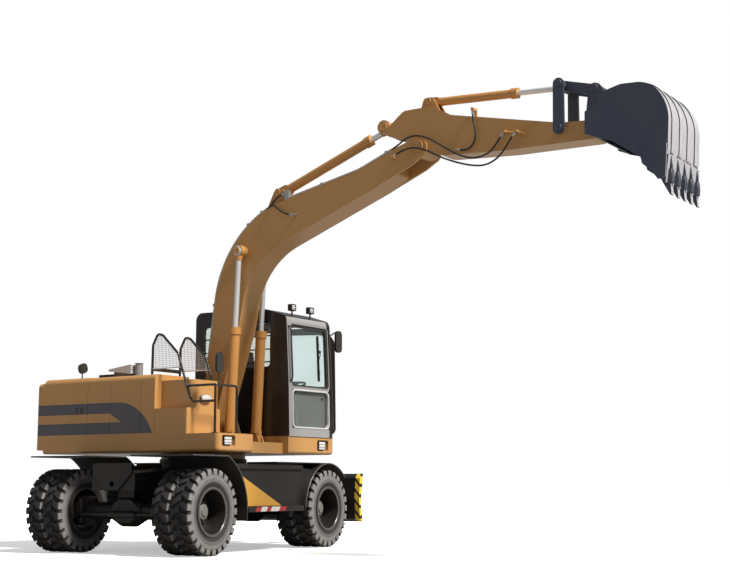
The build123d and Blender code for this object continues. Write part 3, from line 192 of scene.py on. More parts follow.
def add_plate(bm, outline, low, high, plane="XZ", placement=Matrix.Identity(4)):
    """Adds a flat plate from an outline, between two places across its plane."""
    near, far = [loop_at(bm, outline, at, plane, placement) for at in (low, high)]
    bm.faces.new(near)
    bm.faces.new(list(reversed(far)))
    for i in range(len(outline)):
        j = (i + 1) % len(outline)
        bm.faces.new((near[i], far[i], far[j], near[j]))


def add_frame(bm, outer, inner, low, high, plane="XZ"):
    """Adds a flat ring between two outlines that have the same number of points."""
    corners = ((outer, low), (outer, high), (inner, high), (inner, low))
    loops = [loop_at(bm, outline, at, plane) for outline, at in corners]
    skin(bm, loops + loops[:1])


def add_dome(bm, outline, base, rise, plane_x):
    """Adds a lens that bulges from a flat rim: the outline in y and z, at plane_x, swelling by rise."""
    middle_y = sum(a for a, b in outline) / len(outline)
    middle_z = sum(b for a, b in outline) / len(outline)
    loops = [loop_at(bm, outline, plane_x - base, "YZ")]
    for share, height in ((1.0, 0.0), (0.86, 0.45), (0.60, 0.80), (0.30, 0.96)):
        spots = [(middle_y + (a - middle_y) * share, middle_z + (b - middle_z) * share) for a, b in outline]
        loops.append(loop_at(bm, spots, plane_x + height * rise, "YZ"))
    skin(bm, loops)
    cap(bm, loops)


def rounded(low_a, high_a, low_b, high_b, radius, steps=5):
    """The outline of a rounded rectangle."""
    spots = []
    low_a, high_a, low_b, high_b = low_a + radius, high_a - radius, low_b + radius, high_b - radius
    for a, b, start in ((high_a, high_b, 0), (low_a, high_b, 90), (low_a, low_b, 180), (high_a, low_b, 270)):
        spots += arc((a, b), radius, [start + 90 * step / steps for step in range(steps + 1)])
    return spots


def inset(spots, by):
    """A smaller copy of an outline that runs round its middle, for rings round an opening."""
    out = []
    for i, (a, b) in enumerate(spots):
        run = (Vector(spots[(i + 1) % len(spots)]) - Vector(spots[i - 1])).normalized()
        out.append((a - run.y * by, b + run.x * by))
    return out


def new_curve(name, radius, kind, smooth=4):
    """A round cord's curve and its first spline."""
    curve = bpy.data.curves.new(name, "CURVE")
    curve.dimensions = "3D"
    curve.bevel_depth = radius
    curve.bevel_resolution = smooth
    curve.use_fill_caps = True
    return curve, curve.splines.new(kind)


def lay_points(spline, spots, placement):
    """Lays a spline's points along a route."""
    spline.points.add(len(spots) - 1)
    for point, spot in zip(spline.points, spots):
        point.co = (*(placement @ Vector(spot)), 1.0)


def tube(name, points, radius, material, bend=0.06):
    """A bent tube on the cab's upper front through its corner points, with round bends."""
    curve, spline = new_curve(name, radius, "BEZIER")
    curve.resolution_u = 6
    spots = [UPPER_FRONT @ Vector(p) for p in points]
    path = [(spots[0], spots[0], spots[0])]
    for before, here, after in zip(spots, spots[1:], spots[2:]):
        back, ahead = before - here, after - here
        reach = min(bend, back.length * 0.45, ahead.length * 0.45)
        entry = here + back.normalized() * reach
        leave = here + ahead.normalized() * reach
        path += [(entry, entry, here), (leave, here, leave)]
    path.append((spots[-1], spots[-1], spots[-1]))
    spline.bezier_points.add(len(path) - 1)
    for point, (spot, left, right) in zip(spline.bezier_points, path):
        point.co = spot
        point.handle_left_type = point.handle_right_type = "FREE"
        point.handle_left = spot + (left - spot) * 0.55
        point.handle_right = spot + (right - spot) * 0.55
    return link_piece(name, curve, material)


# Material helpers

def fill(node, values):
    """Sets a node's inputs by title or number: a socket is linked, and any other value is written."""
    for title, value in values.items():
        if isinstance(value, bpy.types.NodeSocket):
            node.id_data.links.new(value, node.inputs[title])
        else:
            node.inputs[title].default_value = value


def group_tree(name, inputs, outputs):
    """An empty shader node group with its sockets: name, type and default of each."""
    tree = bpy.data.node_groups.new(name, "ShaderNodeTree")
    for title, kind, default in inputs:
        socket = tree.interface.new_socket(title, in_out="INPUT", socket_type="NodeSocket" + kind)
        socket.default_value = default
    for title, kind in outputs:
        tree.interface.new_socket(title, in_out="OUTPUT", socket_type="NodeSocket" + kind)
    return tree, tree.nodes.new("NodeGroupInput").outputs, tree.nodes.new("NodeGroupOutput")


def add_group(tree, name):
    """Places a node group in a material."""
    node = tree.nodes.new("ShaderNodeGroup")
    node.node_tree = bpy.data.node_groups[name]
    return node


def calc(tree, operation, *values, clamp=False):
    """A math node whose inputs are sockets or numbers; returns its output socket."""
    node = tree.nodes.new("ShaderNodeMath")
    node.operation = operation
    node.use_clamp = clamp
    fill(node, dict(enumerate(values)))
    return node.outputs[0]


def product(tree, first, *others):
    """The product of several masks."""
    for other in others:
        first = calc(tree, "MULTIPLY", first, other)
    return first


def mix_colour(tree, factor, first, second):
    """A colour mix whose inputs are sockets or values; returns its output socket."""
    node = tree.nodes.new("ShaderNodeMix")
    node.data_type = "RGBA"
    fill(node, {0: factor, 6: first, 7: second})
    return node.outputs[2]


def coordinate(tree, kind):
    """The surface's Object place or its Normal, in the row frame."""
    return tree.nodes.new("ShaderNodeTexCoord").outputs[kind]


def split(tree, vector):
    """A vector's x, y and z."""
    node = tree.nodes.new("ShaderNodeSeparateXYZ")
    fill(node, {0: vector})
    return node.outputs


def noise_of(tree, vector, scale, detail, roughness):
    """A noise texture's value over the surface."""
    node = tree.nodes.new("ShaderNodeTexNoise")
    fill(node, {"Vector": vector, "Scale": scale, "Detail": detail, "Roughness": roughness})
    return node.outputs["Fac"]


def clouds(tree, scale, detail, roughness, gain, lift):
    """Soft patches over the surface, stretched by gain, raised by lift and kept between 0 and 1."""
    noise = noise_of(tree, coordinate(tree, "Object"), scale, detail, roughness)
    return calc(tree, "MULTIPLY_ADD", noise, gain, lift, clamp=True)


def facing(tree, axis, limit):
    """1 where the surface faces along an axis of the object, either way, and 0 elsewhere."""
    dot = tree.nodes.new("ShaderNodeVectorMath")
    dot.operation = "DOT_PRODUCT"
    fill(dot, {0: coordinate(tree, "Normal"), 1: axis})
    size = calc(tree, "ABSOLUTE", dot.outputs["Value"])
    ramp = tree.nodes.new("ShaderNodeMapRange")
    fill(ramp, {"Value": size, "From Min": limit - 0.12, "From Max": limit + 0.12})
    return ramp.outputs["Result"]


def dusty_group():
    """Dust that lies thicker low down and in soft patches, over a base colour."""
    tree, given, out = group_tree(
        "dusty surface",
        (("Colour", "Color", (0.5, 0.5, 0.5, 1)), ("Dust Colour", "Color", DUST_COLOUR), ("Dust", "Float", 0.2),
         ("Low Dust", "Float", 0.3), ("Roughness", "Float", 0.4), ("Height", "Float", 1.2)),
        (("Colour", "Color"), ("Roughness", "Float"), ("Relief", "Float")))
    fine = noise_of(tree, coordinate(tree, "Object"), 38.0, 3.0, 0.6)
    grain = calc(tree, "MULTIPLY_ADD", fine, 1.2, 0.35)
    even = product(tree, clouds(tree, 1.6, 4.0, 0.5, 2.4, -0.75), grain, given["Dust"])
    drop = calc(tree, "DIVIDE", split(tree, coordinate(tree, "Object"))["Z"], given["Height"])
    low = product(tree, calc(tree, "SUBTRACT", 1.0, drop, clamp=True), given["Low Dust"], grain)
    cover = calc(tree, "ADD", even, low, clamp=True)
    fill(out, {
        "Colour": mix_colour(tree, cover, given["Colour"], given["Dust Colour"]),
        "Roughness": calc(tree, "MULTIPLY_ADD", cover, 0.5, given["Roughness"], clamp=True),
        "Relief": fine})


def stripe_group(settings):
    """The mask of the two dark side stripes that meet in front and run down along an arc."""
    tree, _, out = group_tree("side stripes", (), (("Mask", "Float"),))
    place = split(tree, coordinate(tree, "Object"))
    x, z = calc(tree, "SUBTRACT", place["X"], SWING.x), place["Z"]
    low, top, start, span = settings.stripe_low, settings.stripe_top, -0.40, 0.60
    centre = (top ** 2 - low ** 2 - span ** 2) / (2 * (top - low))
    past = calc(tree, "MAXIMUM", calc(tree, "SUBTRACT", x, start), 0.0)
    square = calc(tree, "SUBTRACT", (top - centre) ** 2, product(tree, past, past))
    crest = calc(tree, "ADD", calc(tree, "SQRT", calc(tree, "MAXIMUM", square, 0.0)), centre)
    band = product(tree, calc(tree, "LESS_THAN", z, crest), calc(tree, "GREATER_THAN", z, low))
    gap_low, gap_high = settings.gap_low, settings.gap_high
    slope = (gap_high - gap_low) / 0.21
    slant = calc(tree, "MULTIPLY_ADD", x, -slope, gap_low - 0.33 * slope)
    gap_top = calc(tree, "MINIMUM", slant, gap_high)
    gap = product(tree, calc(tree, "GREATER_THAN", z, gap_low), calc(tree, "LESS_THAN", z, gap_top))
    fill(out, {"Mask": calc(tree, "SUBTRACT", band, gap, clamp=True)})


def shader(name, colour, rough, metallic=0.0, coat=0.0):
    """A new material's Principled shader, with its constants on its own sockets."""
    material = bpy.data.materials.new(name)
    material.use_nodes = True
    material.diffuse_color = colour
    MATERIALS[name] = material
    node = material.node_tree.nodes["Principled BSDF"]
    fill(node, {
        "Base Color": colour, "Roughness": rough, "Metallic": metallic, "Coat Weight": coat,
        "Coat Roughness": 0.12})
    return node


def dusty(name, colour, rough, dust, low_dust, metallic=0.0, coat=0.0, bump=0.0, height=1.2):
    """A material whose colour and roughness run through the dust group; returns the group's node."""
    node = shader(name, colour, rough, metallic, coat)
    group = add_group(node.id_data, "dusty surface")
    fill(group, {"Colour": colour, "Dust": dust, "Low Dust": low_dust, "Roughness": rough, "Height": height})
    fill(node, {"Base Color": group.outputs["Colour"], "Roughness": group.outputs["Roughness"]})
    if bump > 0:
        relief = node.id_data.nodes.new("ShaderNodeBump")
        fill(relief, {"Strength": bump, "Distance": 0.002, "Height": group.outputs["Relief"]})
        fill(node, {"Normal": relief.outputs["Normal"]})
    return group


def overlay(group, mask, under, over):
    """Gives the dust group a colour that changes where the mask is 1."""
    fill(group, {"Colour": mix_colour(group.id_data, mask, under, over)})


def striped_paint(settings):
    """The body paint with the two dark stripes along the sides."""
    group = dusty("striped_paint", settings.paint, 0.34, 0.10, 0.0, coat=0.25)
    mask = add_group(group.id_data, "side stripes").outputs["Mask"]
    overlay(group, mask, settings.paint, settings.stripe_colour)


def tyre_paint(settings):
    """Black tread, with pale dust on the walls that face along the axle."""
    group = dusty("tyre_rubber", settings.rubber, 0.82, 0.04, 0.03, bump=0.35, height=0.5)
    tree = group.id_data
    rings = tree.nodes.new("ShaderNodeAttribute")
    rings.attribute_name = "dust"
    patch = clouds(tree, 7.0, 5.0, 0.65, 1.1, 0.40)
    share = product(tree, facing(tree, AXLE_AXIS, 0.60), rings.outputs["Fac"], patch)
    overlay(group, share, settings.rubber, settings.wall_dust)


def bucket_paint_with_side_shade(settings):
    """Navy sides, and steel worn bare on the back, the lip and the teeth; the navy kept on the sides of the teeth
    and the lip is painted shade.
    """
    group = dusty("bucket_paint_with_side_shade", settings.tool_paint, 0.40, 0.10, 0.0, bump=0.2)
    tree = group.id_data
    scratch = tree.nodes.new("ShaderNodeMapping")
    fill(scratch, {"Vector": coordinate(tree, "Object"), "Scale": (2.0, 30.0, 2.0)})
    grain = noise_of(tree, scratch.outputs["Vector"], 3.0, 5.0, 0.6)
    worn = calc(tree, "MULTIPLY_ADD", grain, 1.6, 0.15, clamp=True)
    x = split(tree, coordinate(tree, "Object"))["X"]
    far = calc(tree, "MULTIPLY_ADD", x, 2.2, -2.2 * (SWING.x + 6.45), clamp=True)
    # Faces that point along the pins keep the navy: on the side plates it is the bucket's paint, and on the sides
    # of the teeth and the lip it is painted shade.
    back = calc(tree, "SUBTRACT", 1.0, facing(tree, (0, 1, 0), 0.55))
    overlay(group, product(tree, back, far, worn), settings.tool_paint, settings.bare_steel)


def cab_shell_paint(settings):
    """Dark cab paint whose front faces are silver, apart from the pillar beside the door."""
    group = dusty("cab_shell_paint", settings.cab_paint, 0.32, 0.05, 0.0, coat=0.2)
    tree = group.id_data
    place = split(tree, coordinate(tree, "Object"))
    front = calc(tree, "GREATER_THAN", split(tree, coordinate(tree, "Normal"))["X"], 0.75)
    ahead = calc(tree, "GREATER_THAN", place["X"], SWING.x + CAB_FRONT)
    right = calc(tree, "LESS_THAN", place["Y"], SWING.y + 1.09)
    overlay(group, product(tree, front, ahead, right), settings.cab_paint, settings.silver)


def hazard_paint(settings):
    """Black paint with yellow slanted bars near the blade's left end."""
    group = dusty("blade_paint", settings.chassis_paint, 0.45, 0.04, 0.04)
    tree = group.id_data
    place = split(tree, coordinate(tree, "Object"))
    across = calc(tree, "MULTIPLY", place["X"], AXLE_AXIS.x)
    across = calc(tree, "MULTIPLY_ADD", place["Y"], AXLE_AXIS.y, across)
    across = calc(tree, "SUBTRACT", across, SWING.x * AXLE_AXIS.x + SWING.y * AXLE_AXIS.y)
    strip = calc(tree, "GREATER_THAN", across, 1.125)
    slant = calc(tree, "MULTIPLY_ADD", across, 1.2, place["Z"])
    wave = calc(tree, "FRACT", calc(tree, "DIVIDE", slant, 0.15))
    bars = calc(tree, "GREATER_THAN", wave, 0.32)
    overlay(group, product(tree, strip, bars), settings.chassis_paint, HAZARD_YELLOW)


def clear_glass():
    """Clear sheet glass with a faint tint and traces of wiped dust."""
    node = shader("clear_glazing", SCREEN_TINT, 0.02)
    trace = clouds(node.id_data, 6.0, 5.0, 0.6, 0.10, -0.02)
    fill(node, {"Transmission Weight": 0.96, "IOR": GLASS_IOR, "Roughness": trace})


def hazy_glass():
    """Cab glass that is clear above and hazy with dust in the lower front pane."""
    node = shader("cab_glazing", PANE_TINT, 0.02)
    tree = node.id_data
    place = split(tree, coordinate(tree, "Object"))
    low = calc(tree, "LESS_THAN", place["Z"], 2.11)
    front = calc(tree, "GREATER_THAN", place["X"], SWING.x + CAB_FRONT)
    haze = product(tree, low, front, clouds(tree, 4.0, 6.0, 0.65, 0.5, 0.38))
    fill(node, {
        "Transmission Weight": 0.90, "IOR": GLASS_IOR,
        "Base Color": mix_colour(tree, haze, PANE_TINT, HAZE_TINT),
        "Roughness": calc(tree, "MULTIPLY_ADD", haze, 0.2, 0.02)})


class ExcavatorFinish(bpy.types.PropertyGroup):
    """Colours of the paint and the stripes' places."""

    paint: bpy.props.FloatVectorProperty(
        name="Body paint", description="Colour of the upper body, boom and arm", subtype="COLOR", size=4,
        min=0, max=1, default=(0.50, 0.262, 0.088, 1.0))
    cab_paint: bpy.props.FloatVectorProperty(
        name="Cab paint", description="Colour of the cab and door", subtype="COLOR", size=4, min=0, max=1,
        default=(0.016, 0.0135, 0.0145, 1.0))
    chassis_paint: bpy.props.FloatVectorProperty(
        name="Chassis paint", description="Colour of the chassis", subtype="COLOR", size=4, min=0, max=1,
        default=(0.0085, 0.0075, 0.008, 1.0))
    tool_paint: bpy.props.FloatVectorProperty(
        name="Tool paint", description="Colour of the bucket and its linkage", subtype="COLOR", size=4, min=0,
        max=1, default=(0.045, 0.058, 0.098, 1.0))
    bare_steel: bpy.props.FloatVectorProperty(
        name="Bare steel", description="Colour of the bucket's worn back", subtype="COLOR", size=4, min=0, max=1,
        default=(0.53, 0.53, 0.58, 1.0))
    silver: bpy.props.FloatVectorProperty(
        name="Silver", description="Colour of the cab's front frame", subtype="COLOR", size=4, min=0, max=1,
        default=(0.30, 0.30, 0.31, 1.0))
    rubber: bpy.props.FloatVectorProperty(
        name="Rubber", description="Colour of the tread", subtype="COLOR", size=4, min=0, max=1,
        default=(0.016, 0.0155, 0.018, 1.0))
    wall_dust: bpy.props.FloatVectorProperty(
        name="Wall dust", description="Colour of the dust on the tyre walls", subtype="COLOR", size=4, min=0,
        max=1, default=(0.20, 0.195, 0.197, 1.0))
    stripe_colour: bpy.props.FloatVectorProperty(
        name="Stripes", description="Colour of the side stripes", subtype="COLOR", size=4, min=0, max=1,
        default=(0.075, 0.073, 0.092, 1.0))
    stripe_low: bpy.props.FloatProperty(
        name="Stripe foot", description="Height of the lower stripe's lower edge", subtype="DISTANCE",
        default=1.49)
    gap_low: bpy.props.FloatProperty(
        name="Gap foot", description="Height where the gap between the stripes starts", subtype="DISTANCE",
        default=1.64)
    gap_high: bpy.props.FloatProperty(
        name="Gap top", description="Height where the gap between the stripes ends", subtype="DISTANCE",
        default=1.755)
    stripe_top: bpy.props.FloatProperty(
        name="Stripe top", description="Height of the upper stripe's upper edge", subtype="DISTANCE",
        default=1.895)


class ExcavatorSizes(bpy.types.PropertyGroup):
    """Sizes of the pieces that are added to the frame."""

    tyre_radius: bpy.props.FloatProperty(
        name="Tyre radius", description="Outer radius over the lugs", subtype="DISTANCE", default=0.522)
    tyre_width: bpy.props.FloatProperty(
        name="Tyre width", description="Width of one tyre", subtype="DISTANCE", default=0.245)
    twin_gap: bpy.props.FloatProperty(
        name="Twin gap", description="Space between the two tyres of a twin", subtype="DISTANCE", default=0.05)
    lug_count: bpy.props.IntProperty(name="Lugs", description="Lugs on each shoulder of a tyre", default=25)
    rim_radius: bpy.props.FloatProperty(
        name="Rim radius", description="Radius of the rim's flange", subtype="DISTANCE", default=0.3)
    nut_circle: bpy.props.FloatProperty(
        name="Nut circle", description="Radius of the circle of wheel nuts", subtype="DISTANCE", default=0.16)


class EXCAVATOR_OT_camera(bpy.types.Operator):
    """Set the camera as fitted to the photograph"""

    bl_idname = "excavator.camera"
    bl_label = "Camera"

    def execute(self, context):
        camera_data = bpy.data.cameras.new("camera")
        camera_data.lens = CAMERA_LENS
        camera_data.sensor_width = SENSOR
        camera_data.clip_end = 500
        camera = bpy.data.objects.new("camera", camera_data)
        context.scene.collection.objects.link(camera)
        camera.location = UPPER @ Vector(CAMERA_SPOT)
        camera.rotation_euler = (math.pi / 2 + CAMERA_PITCH, 0, CAMERA_YAW - math.pi / 2)
        context.scene.camera = camera
        return {"FINISHED"}


DUST_COLOUR = (0.30498731, 0.23074005, 0.14995979, 1.0)
HAZARD_YELLOW = (0.80, 0.55, 0.06, 1.0)
GLASS_IOR = 1.12
SCREEN_TINT = (0.76, 0.86, 0.86, 1.0)
PANE_TINT = (0.90, 0.94, 0.92, 1.0)
HAZE_TINT = (0.74, 0.81, 0.78, 1.0)
# The finish of each slot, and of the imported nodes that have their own
SLOT_FINISHES = {
    "body_ochre": "body_paint", "cab_dark": "cab_paint", "chassis_black": "chassis_paint",
    "tool_navy": "tool_paint", "cylinder_orange": "cylinder_paint", "rod_chrome": "chrome",
    "cab_glazing": "cab_glazing", "tyre_rubber": "tyre_rubber", "rim_black": "rim_paint",
    "engine_grey": "cast_grey", "exhaust_steel": "silver_paint", "seat_cloth": "seat_cloth",
    "black_plastic": "black_plastic", "hose_rubber": "hose_rubber",
}
NODE_FINISHES = {
    "hood_vent": "black_plastic", "handrails": "rail_paint", "bucket": "bucket_paint_with_side_shade",
    "steering_rod": "rim_paint", "cab_shell": "cab_shell_paint", "boom_pipes": "bright_steel",
    "counterweight": "striped_paint", "hood": "striped_paint", "right_housing": "striped_paint",
    "left_housing": "striped_paint", "blade": "blade_paint", "fuel_tank": "body_paint",
}


class EXCAVATOR_OT_finishes(bpy.types.Operator):
    """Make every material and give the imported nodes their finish"""

    bl_idname = "excavator.finishes"
    bl_label = "Finishes"

    def execute(self, context):
        settings = context.scene.excavator_finish
        dusty_group()
        stripe_group(settings)
        for paint in (striped_paint, hazard_paint, tyre_paint, bucket_paint_with_side_shade, cab_shell_paint):
            paint(settings)
        # columns: name, colour, roughness, dust, dust low down, metallic, coat, bump
        rows = (
            ("body_paint", settings.paint, 0.34, 0.08, 0.0, 0.0, 0.2, 0.0),
            ("cylinder_paint", (0.53, 0.250, 0.065, 1), 0.36, 0.08, 0.0, 0.0, 0.2, 0.0),
            ("cab_paint", settings.cab_paint, 0.32, 0.05, 0.0, 0.0, 0.2, 0.0),
            ("chassis_paint", settings.chassis_paint, 0.45, 0.014, 0.018, 0.0, 0.0, 0.1),
            ("tool_paint", settings.tool_paint, 0.42, 0.10, 0.0, 0.0, 0.0, 0.1),
            ("rim_paint", (0.010, 0.0095, 0.010, 1), 0.45, 0.03, 0.03, 0.0, 0.0, 0.1),
            ("hub_paint", (0.16, 0.16, 0.165, 1), 0.4, 0.05, 0.2, 0.1, 0.0, 0.2),
            ("rim_edge", (0.12, 0.12, 0.127, 1), 0.35, 0.06, 0.0, 0.5, 0.0, 0.0),
            ("bright_steel", (0.55, 0.55, 0.56, 1), 0.28, 0.06, 0.0, 0.9, 0.0, 0.0),
            ("chrome", (0.80, 0.81, 0.83, 1), 0.30, 0.03, 0.0, 0.55, 0.0, 0.0),
            ("cast_grey", (0.11, 0.11, 0.115, 1), 0.7, 0.10, 0.0, 0.1, 0.0, 0.3),
            ("black_plastic", (0.014, 0.014, 0.0145, 1), 0.5, 0.06, 0.0, 0.0, 0.0, 0.3),
            ("rail_paint", (0.012, 0.012, 0.013, 1), 0.22, 0.03, 0.0, 0.0, 0.6, 0.0),
            ("seat_cloth", (0.035, 0.035, 0.042, 1), 0.9, 0.05, 0.0, 0.0, 0.0, 0.8),
            ("seat_vinyl", (0.020, 0.020, 0.022, 1), 0.55, 0.03, 0.0, 0.0, 0.0, 0.3),
            ("hose_rubber", (0.012, 0.012, 0.013, 1), 0.55, 0.06, 0.0, 0.0, 0.0, 0.5),
            ("silver_paint", settings.silver, 0.35, 0.06, 0.0, 0.3, 0.0, 0.0),
            ("pale_alloy", (0.62, 0.62, 0.65, 1), 0.40, 0.08, 0.0, 0.2, 0.0, 0.1),
            ("screen_wire", (0.80, 0.80, 0.84, 1), 0.45, 0.03, 0.0, 0.0, 0.0, 0.0),
            ("yellow_sign", (0.62, 0.32, 0.045, 1), 0.42, 0.08, 0.0, 0.0, 0.0, 0.0),
            ("red_reflector", (0.36, 0.028, 0.024, 1), 0.25, 0.06, 0.0, 0.0, 0.0, 0.0),
            ("white_reflector", (0.68, 0.68, 0.68, 1), 0.25, 0.06, 0.0, 0.0, 0.0, 0.0),
            ("mirror_face", (0.72, 0.75, 0.78, 1), 0.04, 0.03, 0.0, 1.0, 0.0, 0.0),
            ("lamp_lens", (0.62, 0.62, 0.64, 1), 0.10, 0.04, 0.0, 0.0, 0.6, 0.0),
        )
        for row in rows:
            dusty(*row)
        clear_glass()
        hazy_glass()
        for row in frame["record"]["subparts"]:
            node = NODES[row["node"]]
            finish = NODE_FINISHES.get(row["node"], SLOT_FINISHES[row["material_slot"]])
            node.data.materials.clear()
            node.data.materials.append(MATERIALS[finish])
        return {"FINISHED"}


# Hoses: the route's points in metres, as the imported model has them
HOSE_ROUTES = {
    "hose_crowd": ((1.2542, -0.308, 4.3786), (1.3078, -0.308, 4.4048), (1.365, -0.32, 4.459), (1.43, -0.33, 4.515),
                   (1.5086, -0.335, 4.5496), (1.5866, -0.335, 4.5659)),
    "hose_side": ((1.2542, -0.34, 4.3786), (1.3216, -0.34, 4.4115), (1.395, -0.374, 4.43), (1.47, -0.408, 4.408),
                  (1.545, -0.412, 4.35), (1.62, -0.412, 4.3), (1.7, -0.412, 4.266), (1.7748, -0.412, 4.2581)),
    "hose_arm_upper": ((3.1802, -0.34, 4.9045), (3.3, -0.34, 4.9507), (3.45, -0.39, 5.015), (3.6, -0.412, 5.035),
                       (3.76, -0.412, 4.99), (3.91, -0.412, 4.9), (4.07, -0.412, 4.79), (4.24, -0.412, 4.69),
                       (4.425, -0.412, 4.632), (4.61, -0.412, 4.664), (4.715, -0.412, 4.765),
                       (4.8032, -0.412, 4.8885)),
    "hose_arm_lower": ((3.3089, -0.446, 4.8075), (3.48, -0.446, 4.876), (3.66, -0.446, 4.868),
                       (3.84, -0.446, 4.79), (4.01, -0.446, 4.69), (4.2, -0.446, 4.61), (4.4, -0.446, 4.545),
                       (4.59, -0.446, 4.52), (4.76, -0.446, 4.59), (4.87, -0.446, 4.72),
                       (4.973, -0.446, 4.8616)),
    "hose_curl": ((4.392, -0.385, 5.2297), (4.392, -0.385, 5.11), (4.425, -0.385, 5.0), (4.428, -0.385, 4.885),
                  (4.375, -0.382, 4.792), (4.28, -0.38, 4.752), (4.1692, -0.38, 4.7835)),
}
# columns: hose, body, length, how it lies
HOSE_ROWS = (
    ("hose_crowd", "boom", 0.389, "taut"), ("hose_side", "boom", 0.584, "loose"),
    ("hose_arm_upper", "boom", 1.847, "hanging"), ("hose_arm_lower", "boom", 1.880, "hanging"),
    ("hose_curl", "arm", 0.661, "hanging"),
)
HOSE_DIAMETER = 0.022
# Nut, neck and crimped sleeve of a hose's end: start and stop along the hose, radius, sides
FITTING_ROWS = ((0.0, 0.020, 0.0165, 6), (0.020, 0.024, 0.0125, 20), (0.024, 0.052, 0.0142, 20))


class EXCAVATOR_OT_hoses(bpy.types.Operator):
    """Lay the free hoses along the boom and arm, with a crimped fitting at each end"""

    bl_idname = "excavator.hoses"
    bl_label = "Hoses"

    def execute(self, context):
        for name, body, length, lay in HOSE_ROWS:
            route = HOSE_ROUTES[name]
            curve, spline = new_curve("line_" + name, HOSE_DIAMETER / 2, "NURBS")
            curve.resolution_u = 16
            lay_points(spline, route, UPPER)
            spline.order_u = 3
            spline.use_endpoint_u = True
            curve.materials.append(MATERIALS["hose_rubber"])
            line = bpy.data.objects.new("line_" + name, curve)
            context.scene.collection.objects.link(line)
            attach(line, body)
            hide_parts(name)
            bm = bmesh.new()
            for end, following in ((route[0], route[1]), (route[-1], route[-2])):
                end, way = Vector(end), (Vector(following) - Vector(end)).normalized()
                for start, stop, radius, sides in FITTING_ROWS:
                    add_rod(bm, end + way * start, end + way * stop, radius, sides)
            fitting = new_piece(bm, "fitting_" + name, "bright_steel", body)
        return {"FINISHED"}


class EXCAVATOR_OT_tyres(bpy.types.Operator):
    """Make the twin tyres with their shoulder lugs"""

    bl_idname = "excavator.tyres"
    bl_label = "Tyres"

    def execute(self, context):
        sizes = context.scene.excavator_sizes
        offset = (sizes.tyre_width + sizes.twin_gap) / 2
        for corner in CORNERS:
            bm = bmesh.new()
            bm.verts.layers.float.new("dust")
            for side in (-1, 1):
                add_tyre(bm, sizes, side * offset)
            piece = new_piece(
                bm, "tyre_pair_" + corner, "tyre_rubber", "wheel_" + corner,
                wheel_place(corner), 40)
            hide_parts("tyres_" + corner)
        return {"FINISHED"}


def wheel_place(corner):
    """The place of a wheel's middle, with y along the axle."""
    return Matrix.Translation(JOINTS["roll_" + corner]["pos_m"]) @ Matrix.Rotation(HEADING, 4, "Z")


def add_tyre(bm, sizes, middle):
    """One tyre about the y axis: carcass, raised sidewall rings and two rows of lugs."""
    r, w = sizes.tyre_radius, sizes.tyre_width / 2
    # columns: radius, distance from the middle as a share of the half width, dust
    half = (
        (0.286, 0.79, 0.4), (0.300, 0.82, 0.08), (0.318, 0.93, 0.0), (0.335, 0.955, 0.0), (0.350, 0.965, 0.08),
        (0.360, 0.995, 0.50), (0.372, 0.995, 0.60), (0.380, 0.972, 0.45), (0.405, 0.985, 0.85),
        (0.430, 0.98, 1.0), (0.442, 0.96, 0.35), (0.458, 0.91, 0.10), (0.476, 0.84, 0.03),
        (r - 0.034, 0.76, 0.0), (r - 0.030, 0.5, 0.0),
    )
    rows = [(radius, middle - share * w, dust) for radius, share, dust in half]
    rows += [(radius, middle + share * w, dust) for radius, share, dust in reversed(half)]
    layer = bm.verts.layers.float["dust"]
    before = len(bm.verts)
    add_revolved(bm, [row[:2] for row in rows], 100)
    for index, vert in enumerate(list(bm.verts)[before:]):
        vert[layer] = rows[index % len(rows)][2]
    for side, shift in ((-1, 0.0), (1, 0.5)):
        for step in range(sizes.lug_count):
            add_lug(bm, sizes, middle, side, 2 * math.pi * (step + shift) / sizes.lug_count)


def add_lug(bm, sizes, middle, side, angle):
    """One lug: a block from the tread's middle that widens and folds down over the shoulder."""
    r, w = sizes.tyre_radius, sizes.tyre_width / 2
    pitch = 2 * math.pi / sizes.lug_count
    # columns: share of the half width, outer radius, inner radius, half length and shift along the tread as
    # shares of the pitch, dust
    sections = (
        (0.06, r - 0.004, r - 0.034, 0.20, 0.30, 0.0), (0.45, r - 0.001, r - 0.034, 0.25, 0.12, 0.0),
        (0.84, r - 0.002, r - 0.040, 0.31, 0.0, 0.0), (0.95, r - 0.012, r - 0.060, 0.31, 0.0, 1.0),
        (0.995, r - 0.034, r - 0.075, 0.30, 0.0, 1.0), (1.0, r - 0.062, r - 0.080, 0.27, 0.0, 1.0),
    )
    layer = bm.verts.layers.float["dust"]
    loops = []
    for share, top, low, length, shift, dust in sections:
        loop = []
        for radius, reach in ((low, -length - 0.03), (top, -length), (top, length), (low, length + 0.03)):
            turn = angle + (reach + shift) * pitch
            spot = (radius * math.cos(turn), middle + side * share * w, radius * math.sin(turn))
            loop.append(bm.verts.new(spot))
            loop[-1][layer] = dust
        loops.append(loop)
    skin(bm, loops)
    cap(bm, loops)


HUB_BOLT_CIRCLE = 0.112
# The hub's cap, as rows of radius and place along the axle
HUB_CAP = (
    (0.0, 0.118), (0.088, 0.118), (0.092, 0.125), (0.086, 0.130), (0.058, 0.133), (0.050, 0.146), (0.0, 0.148),
)


